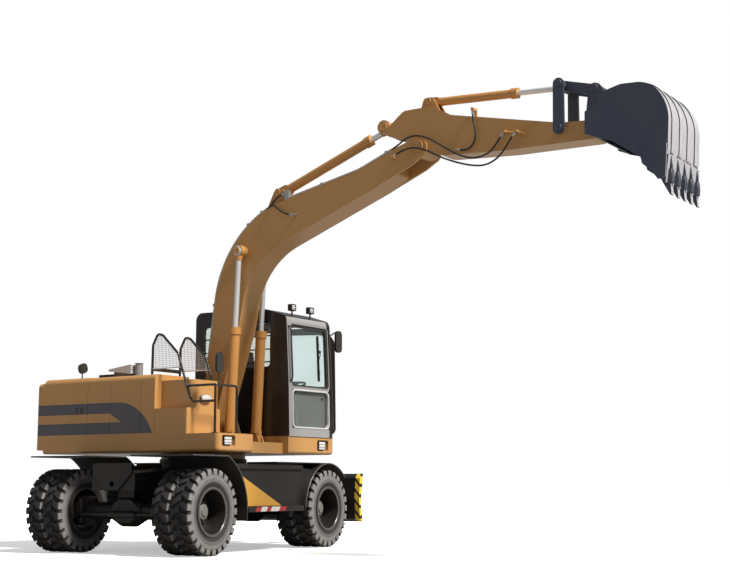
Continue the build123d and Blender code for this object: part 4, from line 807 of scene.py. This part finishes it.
class EXCAVATOR_OT_wheels(bpy.types.Operator):
    """Add the rims' edges, the wheel nuts, and the hubs' caps and bolts"""

    bl_idname = "excavator.wheels"
    bl_label = "Wheels"

    def execute(self, context):
        sizes = context.scene.excavator_sizes
        edge = sizes.tyre_width + sizes.twin_gap / 2 - 0.008
        radius = sizes.rim_radius
        rows = ((radius - 0.034, edge), (radius - 0.030, edge + 0.004), (radius - 0.002, edge + 0.004),
                (radius + 0.001, edge - 0.004), (radius - 0.034, edge - 0.004))
        for corner in CORNERS:
            outside = 1 if corner.endswith("left") else -1
            place = wheel_place(corner) @ Matrix.Diagonal((1, outside, 1, 1))
            bm = bmesh.new()
            add_revolved(bm, rows, 96)
            new_piece(bm, "rim_edge_" + corner, "rim_edge", "wheel_" + corner, place)
            bm = bmesh.new()
            for a, b in circle(sizes.nut_circle, 10):
                add_rod(bm, (a, 0.010, b), (a, 0.036, b), 0.015, 6)
                add_rod(bm, (a, 0.036, b), (a, 0.050, b), 0.009, 12)
            add_turned(bm, HUB_CAP, steps=40)
            for a, b in circle(HUB_BOLT_CIRCLE, 12, math.pi / 12):
                add_rod(bm, (a, 0.094, b), (a, 0.106, b), 0.010, 6)
            new_piece(bm, "wheel_nuts_" + corner, "hub_paint", "wheel_" + corner, place)
        return {"FINISHED"}


# Fixed side windows: name, outline in x and z, and the seal's two places across
WINDOW_SEALS = (
    ("seal_right", rounded(-0.180, 0.985, 2.380, 2.990, 0.07), 0.178, 0.199),
    ("seal_left", rounded(-0.230, 0.335, 2.330, 2.990, 0.06), 1.139, 1.166),
)
DOOR_WINDOW = (
    (0.475, 2.220), (0.478, 2.200), (0.495, 2.180), (0.70, 2.180), (0.90, 2.180), (1.080, 2.180), (1.104, 2.190),
    (1.110, 2.220), (1.106, 2.500), (1.101, 2.720), (1.085, 2.830), (1.040, 2.900), (0.990, 2.935), (0.930, 2.945),
    (0.700, 2.945), (0.510, 2.945), (0.482, 2.933), (0.475, 2.905), (0.475, 2.700), (0.475, 2.450),
)
# Levers and consoles stand this far to each side of the seat's middle
SEAT_MIDDLE, CONSOLE_REACH = 0.672, 0.330
LEVER_GRIP = (
    (0.0, 0.0), (0.020, 0.0), (0.024, 0.012), (0.019, 0.040), (0.021, 0.075), (0.027, 0.100), (0.024, 0.122),
    (0.010, 0.132), (0.0, 0.133),
)
STEERING_HUB = ((0.0, 0.0), (0.046, 0.0), (0.050, 0.010), (0.044, 0.024), (0.020, 0.030), (0.0, 0.031))


class EXCAVATOR_OT_cab(bpy.types.Operator):
    """Dress the cab: windscreen, frames, seals, wiper, latches, door and controls"""

    bl_idname = "excavator.cab"
    bl_label = "Cab"

    def execute(self, context):
        self.front()
        self.wiper()
        self.sides()
        self.controls()
        return {"FINISHED"}

    def front(self):
        """The windscreen in its black seal and silver edge, the lower pane's frame, and the bars beside them."""
        bm = bmesh.new()
        add_plate(bm, rounded(0.290, 1.054, 0.030, 0.796, 0.05), -0.034, -0.028, "YZ")
        new_piece(bm, "windscreen_pane", "clear_glazing", "upper", UPPER_FRONT)
        bm = bmesh.new()
        opening = rounded(0.254, 1.090, 0.002, 0.832, 0.05)
        add_frame(bm, opening, rounded(0.286, 1.058, 0.026, 0.800, 0.05), -0.046, -0.006, "YZ")
        new_piece(bm, "windscreen_seal", "black_plastic", placement=UPPER_FRONT)
        bm = bmesh.new()
        add_frame(bm, rounded(0.232, 1.112, -0.022, 0.856, 0.07), opening, -0.004, 0.006, "YZ")
        bmesh.ops.bevel(bm, geom=list(bm.edges), offset=0.0015, segments=1, affect="EDGES")
        new_piece(bm, "windscreen_edge", "silver_paint", "upper", UPPER_FRONT)
        bm = bmesh.new()
        outer = rounded(0.254, 1.090, -0.544, -0.030, 0.07)
        add_frame(bm, outer, rounded(0.274, 1.070, -0.524, -0.050, 0.06), -0.030, 0.007, "YZ")
        add_box(bm, (-0.044, 0.254, -0.030), (0.004, 1.090, 0.004), 0.006)
        new_piece(bm, "lower_pane_edge", "pale_alloy", "upper", LOWER_FRONT)
        bm = bmesh.new()
        for y, height in ((0.307, 1.985), (0.965, 1.993), (0.355, 1.590), (0.932, 1.600)):
            z = height - DIVIDER
            add_rod(bm, (-0.042, y, z), (-0.014, y, z), 0.013, 16)
            add_box(bm, (-0.020, y - 0.010, z - 0.030), (-0.012, y + 0.010, z + 0.004), 0.003)
        new_piece(bm, "pane_latches", "black_plastic", placement=LOWER_FRONT)
        strip = ((0.020, 1.118, 0.86), (0.020, 1.124, 0.30), (0.022, 1.126, -0.10), (0.024, 1.126, -0.55))
        tube("front_strip", strip, 0.013, "black_plastic")
        grab = ((0.000, 0.212, 0.80), (0.045, 0.212, 0.76), (0.045, 0.216, 0.10), (0.000, 0.216, 0.06))
        tube("grab_bar", grab, 0.011, "rail_paint", 0.03)

    def wiper(self):
        """The wiper's motor, blade and arm."""
        bm = bmesh.new()
        add_rod(bm, (-0.020, 0.902, 0.503), (0.012, 0.902, 0.503), 0.022, 20)
        add_rod(bm, (0.012, 0.902, 0.503), (0.020, 0.902, 0.503), 0.016, 20, 0.010)
        add_box(bm, (0.004, 0.868, 0.10), (0.012, 0.880, 0.72), 0.002)
        add_box(bm, (-0.026, 0.872, 0.10), (0.004, 0.876, 0.72), 0.001)
        for z in (0.22, 0.41, 0.60):
            add_box(bm, (0.006, 0.866, z - 0.014), (0.016, 0.882, z + 0.014), 0.002)
        new_piece(bm, "wiper_blade", "black_plastic", placement=UPPER_FRONT)
        arm = ((0.014, 0.902, 0.503), (0.020, 0.896, 0.47), (0.018, 0.874, 0.41))
        tube("wiper_arm", arm, 0.006, "black_plastic")

    def sides(self):
        """The side windows' seals, the door's seal, ribs and handle, and the roof's gutters."""
        for name, spots, low, high in WINDOW_SEALS:
            bm = bmesh.new()
            add_frame(bm, inset(spots, -0.012), inset(spots, 0.016), low, high)
            new_piece(bm, name, "rail_paint")
        bm = bmesh.new()
        add_frame(bm, inset(DOOR_WINDOW, -0.014), inset(DOOR_WINDOW, 0.018), 1.134, 1.171)
        for step in range(7):
            z = 1.66 + 0.062 * step
            add_box(bm, (0.56, 1.163, z), (1.02, 1.171, z + 0.026), 0.0038, 1)
        new_piece(bm, "door_seal", "black_plastic", "door", placement=DOOR)
        bm = bmesh.new()
        add_box(bm, (0.985, 1.166, 2.085), (1.105, 1.174, 2.135), 0.0035)
        add_box(bm, (0.995, 1.172, 2.100), (1.075, 1.196, 2.120), 0.006)
        add_rod(bm, (1.085, 1.172, 2.110), (1.085, 1.184, 2.110), 0.012, 20)
        new_piece(bm, "door_handle", "silver_paint", "door", DOOR)
        bm = bmesh.new()
        for y in (0.180, 1.148):
            add_box(bm, (-0.20, y, 3.060), (0.86, y + 0.016, 3.074), 0.004)
        new_piece(bm, "roof_gutters", "rail_paint")

    def controls(self):
        """The levers' grips, the console's panels and switches, and the steering wheel's hub."""
        grips, switches = bmesh.new(), bmesh.new()
        upright = Matrix.Rotation(math.pi / 2, 4, "X")
        for y in (SEAT_MIDDLE - CONSOLE_REACH, SEAT_MIDDLE + CONSOLE_REACH):
            lean = Matrix.Translation((0.588, y, 2.235)) @ upright @ Matrix.Rotation(0.14, 4, "Z")
            add_turned(grips, LEVER_GRIP, lean, 20)
            add_box(switches, (0.17, y - 0.052, 2.056), (0.52, y + 0.052, 2.072), 0.007)
            for row in range(5):
                x = 0.20 + 0.055 * row
                add_box(switches, (x, y - 0.034, 2.070), (x + 0.032, y - 0.010, 2.080), 0.003)
                add_rod(switches, (x + 0.016, y + 0.024, 2.070), (x + 0.016, y + 0.024, 2.084), 0.010, 14)
        new_piece(grips, "lever_grips", "black_plastic")
        new_piece(switches, "console_switches", "seat_vinyl")
        bm = bmesh.new()
        add_turned(bm, STEERING_HUB, Matrix.Translation((0.953, SEAT_MIDDLE, 2.176)) @ upright, 28)
        add_box(bm, (1.035, SEAT_MIDDLE - 0.085, 2.045), (1.075, SEAT_MIDDLE + 0.085, 2.145), 0.010)
        new_piece(bm, "wheel_hub", "seat_vinyl")


# Work lamps that get a lens and a bezel: y from, y to, z from, z to and the x of the face
LAMP_FACES = (
    (0.343, 0.437, 3.153, 3.227, 1.1962), (0.753, 0.847, 3.153, 3.227, 1.1962),
    (-1.1177, -0.9603, 1.327, 1.433, 1.2755), (0.8710, 1.0310, 1.305, 1.421, 1.2755),
)
# Mirror faces: x, y and z of the bracket's end, half width, height and lean
MIRROR_ROWS = (
    (1.290, 1.294, 2.800, 0.070, 0.300, 0), (1.155, -1.090, 2.3463, 0.062, 0.250, 0),
    (-1.300, -1.000, 2.390, 0.075, 0.130, 20),
)
SIDE_LAMP = (-0.905, 1.925)


class EXCAVATOR_OT_lamps(bpy.types.Operator):
    """Give the work lamps their lenses and bezels, and the mirrors their faces"""

    bl_idname = "excavator.lamps"
    bl_label = "Lamps"

    def execute(self, context):
        lenses, bezels, silver, faces = bmesh.new(), bmesh.new(), bmesh.new(), bmesh.new()
        for y0, y1, z0, z1, x in LAMP_FACES:
            outer, spots = [
                rounded(y0 + by, y1 - by, z0 + by, z1 - by, radius)
                for by, radius in ((0.001, 0.014), (0.007, 0.012))]
            add_dome(lenses, spots, 0.001, 0.006, x + 0.002)
            add_frame(bezels, outer, spots, x, x + 0.005, "YZ")
            for share in (0.33, 0.66):
                z = z0 + (z1 - z0) * share
                add_box(bezels, (x + 0.004, y0 + 0.008, z - 0.002), (x + 0.0105, y1 - 0.008, z + 0.002), 0.001, 1)
        oval, rim = [
            [(SIDE_LAMP[0] + wide * a, SIDE_LAMP[1] + high * b) for a, b in circle(1.0, 32)]
            for wide, high in ((0.080, 0.033), (0.097, 0.044))]
        add_dome(lenses, oval, 0.001, 0.010, 0.8115)
        add_frame(silver, rim, oval, 0.796, 0.8145, "YZ")
        for x, y, z, half, height, lean in MIRROR_ROWS:
            turn = Matrix.Translation((x - 0.008, y, z)) @ Matrix.Rotation(math.radians(lean), 4, "X")
            wide, high = half - 0.007, height / 2 - 0.007
            spots = rounded(-wide, wide, -high, high, min(half, height / 2) - 0.014)
            add_plate(faces, spots, -0.0015, 0.001, "YZ", turn)
        new_piece(lenses, "lamp_lenses", "lamp_lens", smooth_below=60)
        new_piece(bezels, "lamp_bezels", "black_plastic")
        new_piece(silver, "side_lamp_rim", "pale_alloy")
        new_piece(faces, "mirror_faces", "mirror_face")
        return {"FINISHED"}


# Pin caps: name, body, x and z, distance from the boom's middle plane, radius, thickness, finish
PIN_ROWS = (
    ("foot", "upper", FOOT, 0.216, 0.072, 0.012, "body_paint"),
    ("lift_base", "upper", LIFT_BASE, 0.328, 0.055, 0.010, "body_paint"),
    ("arm_pivot", "boom", ARM_PIVOT, 0.194, 0.078, 0.012, "body_paint"),
    ("crowd_base", "boom", CROWD_BASE, 0.105, 0.048, 0.008, "body_paint"),
    ("crowd_pin", "arm", CROWD_PIN, 0.150, 0.062, 0.012, "body_paint"),
    ("curl_base", "arm", CURL_BASE, 0.090, 0.045, 0.010, "body_paint"),
    ("rocker_foot", "arm", ROCKER_FOOT, 0.224, 0.046, 0.010, "tool_paint"),
    ("rocker_top", "rockers", ROCKER_TOP, 0.220, 0.046, 0.010, "tool_paint"),
    ("bucket_pin", "bucket", BUCKET_PIN, 0.182, 0.056, 0.010, "tool_paint"),
    ("link_pin", "bucket", LINK_PIN, 0.182, 0.050, 0.010, "tool_paint"),
    ("lift_pin", "boom_rods", LIFT_PIN, 0.320, 0.050, 0.010, "body_paint"),
)
# Rod ends: name, body, the rod's pin, its other end, eye radius, half width, rod radius, distances across, finish
ROD_ROWS = (
    ("lift", "boom_rods", LIFT_PIN, LIFT_BASE, 0.075, 0.035, 0.035, (-0.270, 0.270), "cylinder_paint"),
    ("crowd", "arm_rod", CROWD_PIN, CROWD_BASE, 0.070, 0.0595, 0.037, (0.0,), "cylinder_paint"),
    ("curl", "bucket_rod", ROCKER_TOP, CURL_BASE, 0.062, 0.0595, 0.032, (0.0,), "tool_paint"),
)
TOOTH_PLACES = (-0.390, -0.195, 0.0, 0.195, 0.390)
# The adapter over each tooth: outline in x and z, half width
ADAPTER_ROWS = (
    (((6.888, 4.330), (6.902, 4.190), (6.903, 4.060), (6.889, 3.960), (6.850, 4.000), (6.880, 4.300)), 0.013),
    (((6.902, 4.150), (6.908, 4.070), (6.900, 4.000), (6.850, 4.000), (6.870, 4.150)), 0.038),
)


class EXCAVATOR_OT_linkage(bpy.types.Operator):
    """Add the pin caps with their bolts, the painted eyes on the chromed rods and the teeth's adapters"""

    bl_idname = "excavator.linkage"
    bl_label = "Linkage"

    def execute(self, context):
        for name, body, spot, reach, radius, thick, finish in PIN_ROWS:
            bm = bmesh.new()
            rows = ((0.0, -0.001), (radius, -0.001), (radius, thick - 0.004), (radius - 0.004, thick),
                    (radius * 0.45, thick), (radius * 0.38, thick - 0.003), (0.0, thick - 0.003))
            for side in (-1, 1):
                flip = Matrix.Translation((spot[0], side * reach, spot[1])) @ Matrix.Diagonal((1, side, 1, 1))
                add_turned(bm, rows, flip, 36)
                for a, b in circle(radius * 0.70, 3, 0.5):
                    low, high = flip @ Vector((a, thick - 0.002, b)), flip @ Vector((a, thick + 0.007, b))
                    add_rod(bm, low, high, 0.0085, 6)
            new_piece(bm, "pin_caps_" + name, finish, body, BOOM_PLANE)
        for name, body, pin, base, radius, half, rod, places, finish in ROD_ROWS:
            bm = bmesh.new()
            way = Vector((base[0] - pin[0], 0, base[1] - pin[1])).normalized()
            inner, outer = radius - 0.004, radius + 0.0015
            rows = ((inner, -half), (outer, -half), (outer, half), (inner, half))
            for y in places:
                centre = Vector((pin[0], y, pin[1]))
                add_revolved(bm, rows, 48, Matrix.Translation(centre))
                start, stop = centre + way * (radius - 0.010), centre + way * (radius + 0.050)
                add_rod(bm, start, stop, rod + 0.016, 28, rod + 0.006)
            new_piece(bm, "rod_eye_" + name, finish, body, BOOM_PLANE)
        bm = bmesh.new()
        for y in TOOTH_PLACES:
            for spots, half in ADAPTER_ROWS:
                add_plate(bm, spots, y - half, y + half)
        bmesh.ops.bevel(bm, geom=list(bm.edges), offset=0.002, segments=1, affect="EDGES")
        new_piece(bm, "tooth_adapters", "tool_paint", "bucket", BOOM_PLANE)
        return {"FINISHED"}


# The hoops over the right housing, from their feet: shared spots, then each hoop's last ones and its y
HOOP = (
    (0.102, 2.310), (0.105, 2.590), (0.118, 2.660), (0.160, 2.728), (0.210, 2.744), (0.272, 2.722), (0.400, 2.610),
    (0.520, 2.494),
)
HOOP_ROWS = ((((0.545, 2.450), (0.592, 2.310)), -1.150), (((0.560, 2.410), (0.592, 2.330)), -0.620))
SILENCER_SHIELD = ((-1.020, 2.352), (-0.600, 2.300), (-0.600, 2.425), (-0.640, 2.428), (-1.020, 2.378))


class EXCAVATOR_OT_body(bpy.types.Operator):
    """Add the hood's latches, the silencer's shield, the hoops' mesh screens and the rear's fittings"""

    bl_idname = "excavator.body"
    bl_label = "Body"

    def execute(self, context):
        bm = bmesh.new()
        for x in (-1.139, -1.047):
            add_box(bm, (x - 0.012, -1.246, 1.775), (x + 0.012, -1.238, 1.850), 0.003)
            add_box(bm, (x - 0.007, -1.252, 1.785), (x + 0.007, -1.245, 1.822), 0.003)
        new_piece(bm, "hood_latches", "seat_vinyl")
        bm = bmesh.new()
        add_plate(bm, SILENCER_SHIELD, -0.800, -0.640)
        bmesh.ops.bevel(bm, geom=list(bm.edges), offset=0.006, segments=2, affect="EDGES")
        new_piece(bm, "silencer_shield", "pale_alloy")
        bm = bmesh.new()
        add_box(bm, (-0.930, -0.790, 2.236), (-0.650, -0.650, 2.340), 0.015)
        for x in (-0.90, -0.80, -0.70):
            add_box(bm, (x - 0.006, -0.797, 2.245), (x + 0.006, -0.788, 2.330), 0.002, 1)
        new_piece(bm, "silencer_box", "cast_grey")
        bm = bmesh.new()
        for ends, y in HOOP_ROWS:
            add_screen(bm, HOOP + ends, y, 0.024, 0.0042)
            add_rod(bm, (0.102, y, 2.310), (0.592, y, 2.310), 0.009, 12)
        new_piece(bm, "hoop_screens", "screen_wire")
        bm = bmesh.new()
        for step in range(12):
            z = 1.60 + 0.040 * step
            add_box(bm, (-0.88, 1.236, z), (-0.47, 1.246, z + 0.020), 0.004, 1)
        new_piece(bm, "cooler_louvres", "body_paint")
        bm = bmesh.new()
        for y in (-0.55, 0.55):
            rows = ((0.030, -0.014), (0.052, -0.014), (0.052, 0.014), (0.030, 0.014))
            add_revolved(bm, rows, 32, Matrix.Translation((-1.98, y, 2.226)))
        new_piece(bm, "lifting_eyes", "body_paint")
        bm = bmesh.new()
        for side in (-1, 1):
            corner = Matrix.Rotation(-side * math.radians(31.1), 4, "Z")
            turn = Matrix.Translation((-2.085, side * 0.900, 1.420)) @ corner
            add_box(bm, (-0.010, -0.075, -0.028), (0.006, 0.075, 0.028), 0.005, placement=turn)
        new_piece(bm, "rear_lamps", "red_reflector")
        return {"FINISHED"}


def add_screen(bm, spots, y, pitch, wire_width):
    """Adds crossed wires that fill an outline in x and z."""
    half = wire_width / 2
    for axis in (0, 1):
        low, high = min(spot[axis] for spot in spots), max(spot[axis] for spot in spots)
        for step in range(1, int((high - low) / pitch) + 1):
            at = low + pitch * step
            crossings = []
            for one, two in zip(spots, spots[1:] + spots[:1]):
                if (one[axis] - at) * (two[axis] - at) < 0:
                    share = (at - one[axis]) / (two[axis] - one[axis])
                    crossings.append(one[1 - axis] + share * (two[1 - axis] - one[1 - axis]))
            if len(crossings) < 2:
                continue
            start, stop = min(crossings), max(crossings)
            if axis == 0:
                add_box(bm, (at - half, y - half, start), (at + half, y + half, stop))
            else:
                add_box(bm, (start, y - half, at - half), (stop, y + half, at + half))


# The yellow triangle beside the front arch, in the chassis' x and z
TRIANGLE = (
    (0.966, 1.015), (0.884, 0.900), (0.834, 0.800), (0.802, 0.700), (0.785, 0.600), (0.783, 0.578),
    (-0.115, 0.578),
)
# Where the step's red and white bars change, along the chassis
BAR_MARKS = (0.598, 0.480, 0.348, 0.252, 0.055, -0.105)
AXLE_HEIGHT = 0.522
BEADS = {
    "front": arc((1.520, AXLE_HEIGHT), 0.731, range(178, 113, -4)) + [(1.2238, 1.191), (1.960, 1.191)],
    "rear": arc((-1.210, AXLE_HEIGHT), 0.609, range(2, 138, 4)),
}


class EXCAVATOR_OT_chassis(bpy.types.Operator):
    """Add the chassis' yellow triangle, the step's red and white bars and the mudguards' beads"""

    bl_idname = "excavator.chassis"
    bl_label = "Chassis"

    def execute(self, context):
        triangle, reds, whites = bmesh.new(), bmesh.new(), bmesh.new()
        for side in (-1, 1):
            low, high = sorted((side * 1.1690, side * 1.1715))
            add_plate(triangle, TRIANGLE, low, high)
            low, high = sorted((side * 1.2440, side * 1.2460))
            for i, (start, stop) in enumerate(zip(BAR_MARKS, BAR_MARKS[1:])):
                foot = ((start + 0.012, 0.510), (stop + 0.012, 0.510))
                top = ((stop - 0.028, 0.568), (start - 0.028, 0.568))
                add_plate(reds if i % 2 == 0 else whites, foot + top, low, high)
        for bm, name, finish in (
                (triangle, "side_triangles", "yellow_sign"), (reds, "step_red_bars", "red_reflector"),
                (whites, "step_white_bars", "white_reflector")):
            new_piece(bm, name, finish, "chassis", CHASSIS)
        for side, word in ((1, "left"), (-1, "right")):
            for end, spots in BEADS.items():
                name = "bead_%s_%s" % (end, word)
                curve, spline = new_curve(name, 0.0085, "POLY", 2)
                lay_points(spline, [(a, side * 1.2455, b) for a, b in spots], CHASSIS)
                link_piece(name, curve, "rim_edge", "chassis")
        return {"FINISHED"}


BACK_OUTLINE = ((0.150, 2.060), (0.105, 2.700), (0.150, 2.715), (0.225, 2.070))
SWELL_LIMIT = 0.022


class EXCAVATOR_OT_seat(bpy.types.Operator):
    """Swell the seat's cushion and back with a cloth simulation"""

    bl_idname = "excavator.seat"
    bl_label = "Seat"

    def execute(self, context):
        cushion, back = bmesh.new(), bmesh.new()
        add_box(cushion, (0.175, 0.452, 1.932), (0.620, 0.892, 2.012), 0.035, 3)
        add_plate(back, BACK_OUTLINE, 0.462, 0.882)
        bmesh.ops.bevel(back, geom=list(back.edges), offset=0.022, segments=3, affect="EDGES")
        for name, bm in (("seat_cushion", cushion), ("seat_back", back)):
            piece = new_piece(bm, name, "seat_cloth")
            swell(context, piece)
            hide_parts("seat_pads")
        return {"FINISHED"}


def swell(context, piece):
    """Swells a soft piece by air pressure, with no point moved further than the limit."""
    context.view_layer.objects.active = piece
    remesh = piece.modifiers.new("remesh", "REMESH")
    remesh.mode = "VOXEL"
    remesh.voxel_size = 0.008
    bpy.ops.object.modifier_apply(modifier="remesh")
    start = [vert.co.copy() for vert in piece.data.vertices]
    cloth = piece.modifiers.new("cloth", "CLOTH")
    cloth.settings.quality = 4
    cloth.settings.use_pressure = True
    cloth.settings.uniform_pressure_force = 4.0
    cloth.settings.effector_weights.gravity = 0.0
    for number in range(1, 16):
        context.scene.frame_set(number)
    bpy.ops.object.modifier_apply(modifier="cloth")
    context.scene.frame_set(1)
    for vert, home in zip(piece.data.vertices, start):
        moved = vert.co - home
        if moved.length > SWELL_LIMIT:
            vert.co = home + moved.normalized() * SWELL_LIMIT
    smooth = piece.modifiers.new("smooth", "SUBSURF")
    smooth.levels = smooth.render_levels = 1
    for face in piece.data.polygons:
        face.use_smooth = True


# The sun: where it shines from in the upper body's axes, strength, spread in degrees and colour
SUN_WAY, SUN_STRENGTH, SUN_SPREAD, SUN_COLOUR = (1.0, -0.03, 1.10), 5.5, 11.0, (1.0, 0.96, 0.88)
# The world's strength as light, and the floor's shade as light and as the camera sees it
WORLD_LIGHT, FLOOR_LIGHT, FLOOR_SEEN, FLOOR_GLOW = 0.27, 0.33, 0.86, 0.45


class EXCAVATOR_OT_stage(bpy.types.Operator):
    """Set the floor and the light"""

    bl_idname = "excavator.stage"
    bl_label = "Stage"

    def execute(self, context):
        scene = context.scene
        scene.view_settings.view_transform = "Standard"
        floor_mesh = bpy.data.meshes.new("floor")
        bm = bmesh.new()
        bmesh.ops.create_grid(bm, x_segments=1, y_segments=1, size=120)
        bm.to_mesh(floor_mesh)
        bm.free()
        floor = bpy.data.objects.new("floor", floor_mesh)
        scene.collection.objects.link(floor)
        floor_mesh.materials.append(floor_material())
        world = bpy.data.worlds.new("studio") if scene.world is None else scene.world
        scene.world = world
        world.use_nodes = True
        light_world(world)
        data = bpy.data.lights.new("key", "SUN")
        data.energy = SUN_STRENGTH
        data.angle = math.radians(SUN_SPREAD)
        data.color = SUN_COLOUR
        lamp = bpy.data.objects.new("key", data)
        scene.collection.objects.link(lamp)
        lamp.rotation_euler = (-Vector(SUN_WAY)).to_track_quat("-Z", "Y").to_euler()
        return {"FINISHED"}


def floor_material():
    """A pale floor that glows to the camera, so that only the object's soft shadow shows on it."""
    material = bpy.data.materials.new("floor")
    material.use_nodes = True
    tree = material.node_tree
    seen = tree.nodes.new("ShaderNodeLightPath").outputs["Is Camera Ray"]
    light, pale = (FLOOR_LIGHT, FLOOR_LIGHT, FLOOR_LIGHT, 1), (FLOOR_SEEN, FLOOR_SEEN, FLOOR_SEEN, 1)
    fill(tree.nodes["Principled BSDF"], {
        "Base Color": mix_colour(tree, seen, light, pale), "Roughness": 0.85, "Specular IOR Level": 0.0,
        "Emission Color": (1, 1, 1, 1), "Emission Strength": calc(tree, "MULTIPLY", seen, FLOOR_GLOW)})
    return material


def light_world(world):
    """An even pale world that is white to the camera and through glass, and dimmer as light."""
    tree = world.node_tree
    paths = tree.nodes.new("ShaderNodeLightPath").outputs
    seen = calc(tree, "MAXIMUM", paths["Is Camera Ray"], paths["Is Transmission Ray"])
    strength = calc(tree, "MULTIPLY_ADD", seen, 1.0 - WORLD_LIGHT, WORLD_LIGHT)
    fill(tree.nodes["Background"], {"Color": (1, 1, 1, 1), "Strength": strength})


class EXCAVATOR_PT_panel(bpy.types.Panel):
    """The sidebar panel that lists the pieces"""

    bl_label = "Wheeled Excavator"
    bl_idname = "EXCAVATOR_PT_panel"
    bl_space_type = "VIEW_3D"
    bl_region_type = "UI"
    bl_category = "Excavator"

    def draw(self, context):
        layout = self.layout
        for group in (context.scene.excavator_finish, context.scene.excavator_sizes):
            box = layout.box()
            for name in group.bl_rna.properties.keys():
                if name not in ("rna_type", "name"):
                    box.prop(group, name)
        for operator in PIECES:
            layout.operator(operator.bl_idname)


PIECES = (
    EXCAVATOR_OT_camera, EXCAVATOR_OT_finishes, EXCAVATOR_OT_hoses, EXCAVATOR_OT_tyres, EXCAVATOR_OT_wheels,
    EXCAVATOR_OT_cab, EXCAVATOR_OT_lamps, EXCAVATOR_OT_linkage, EXCAVATOR_OT_body, EXCAVATOR_OT_chassis,
    EXCAVATOR_OT_seat, EXCAVATOR_OT_stage,
)
CLASSES = (ExcavatorFinish, ExcavatorSizes, *PIECES, EXCAVATOR_PT_panel)


def register():
    for item in CLASSES:
        bpy.utils.register_class(item)
    bpy.types.Scene.excavator_finish = bpy.props.PointerProperty(type=ExcavatorFinish)
    bpy.types.Scene.excavator_sizes = bpy.props.PointerProperty(type=ExcavatorSizes)


def unregister():
    del bpy.types.Scene.excavator_sizes
    del bpy.types.Scene.excavator_finish
    for item in reversed(CLASSES):
        bpy.utils.unregister_class(item)


def main():
    """Makes the scene in order."""
    register()
    for operator in PIECES:
        getattr(bpy.ops.excavator, operator.bl_idname.split(".")[1])()
    bpy.context.view_layer.update()


if __name__ == "__main__":
    main()
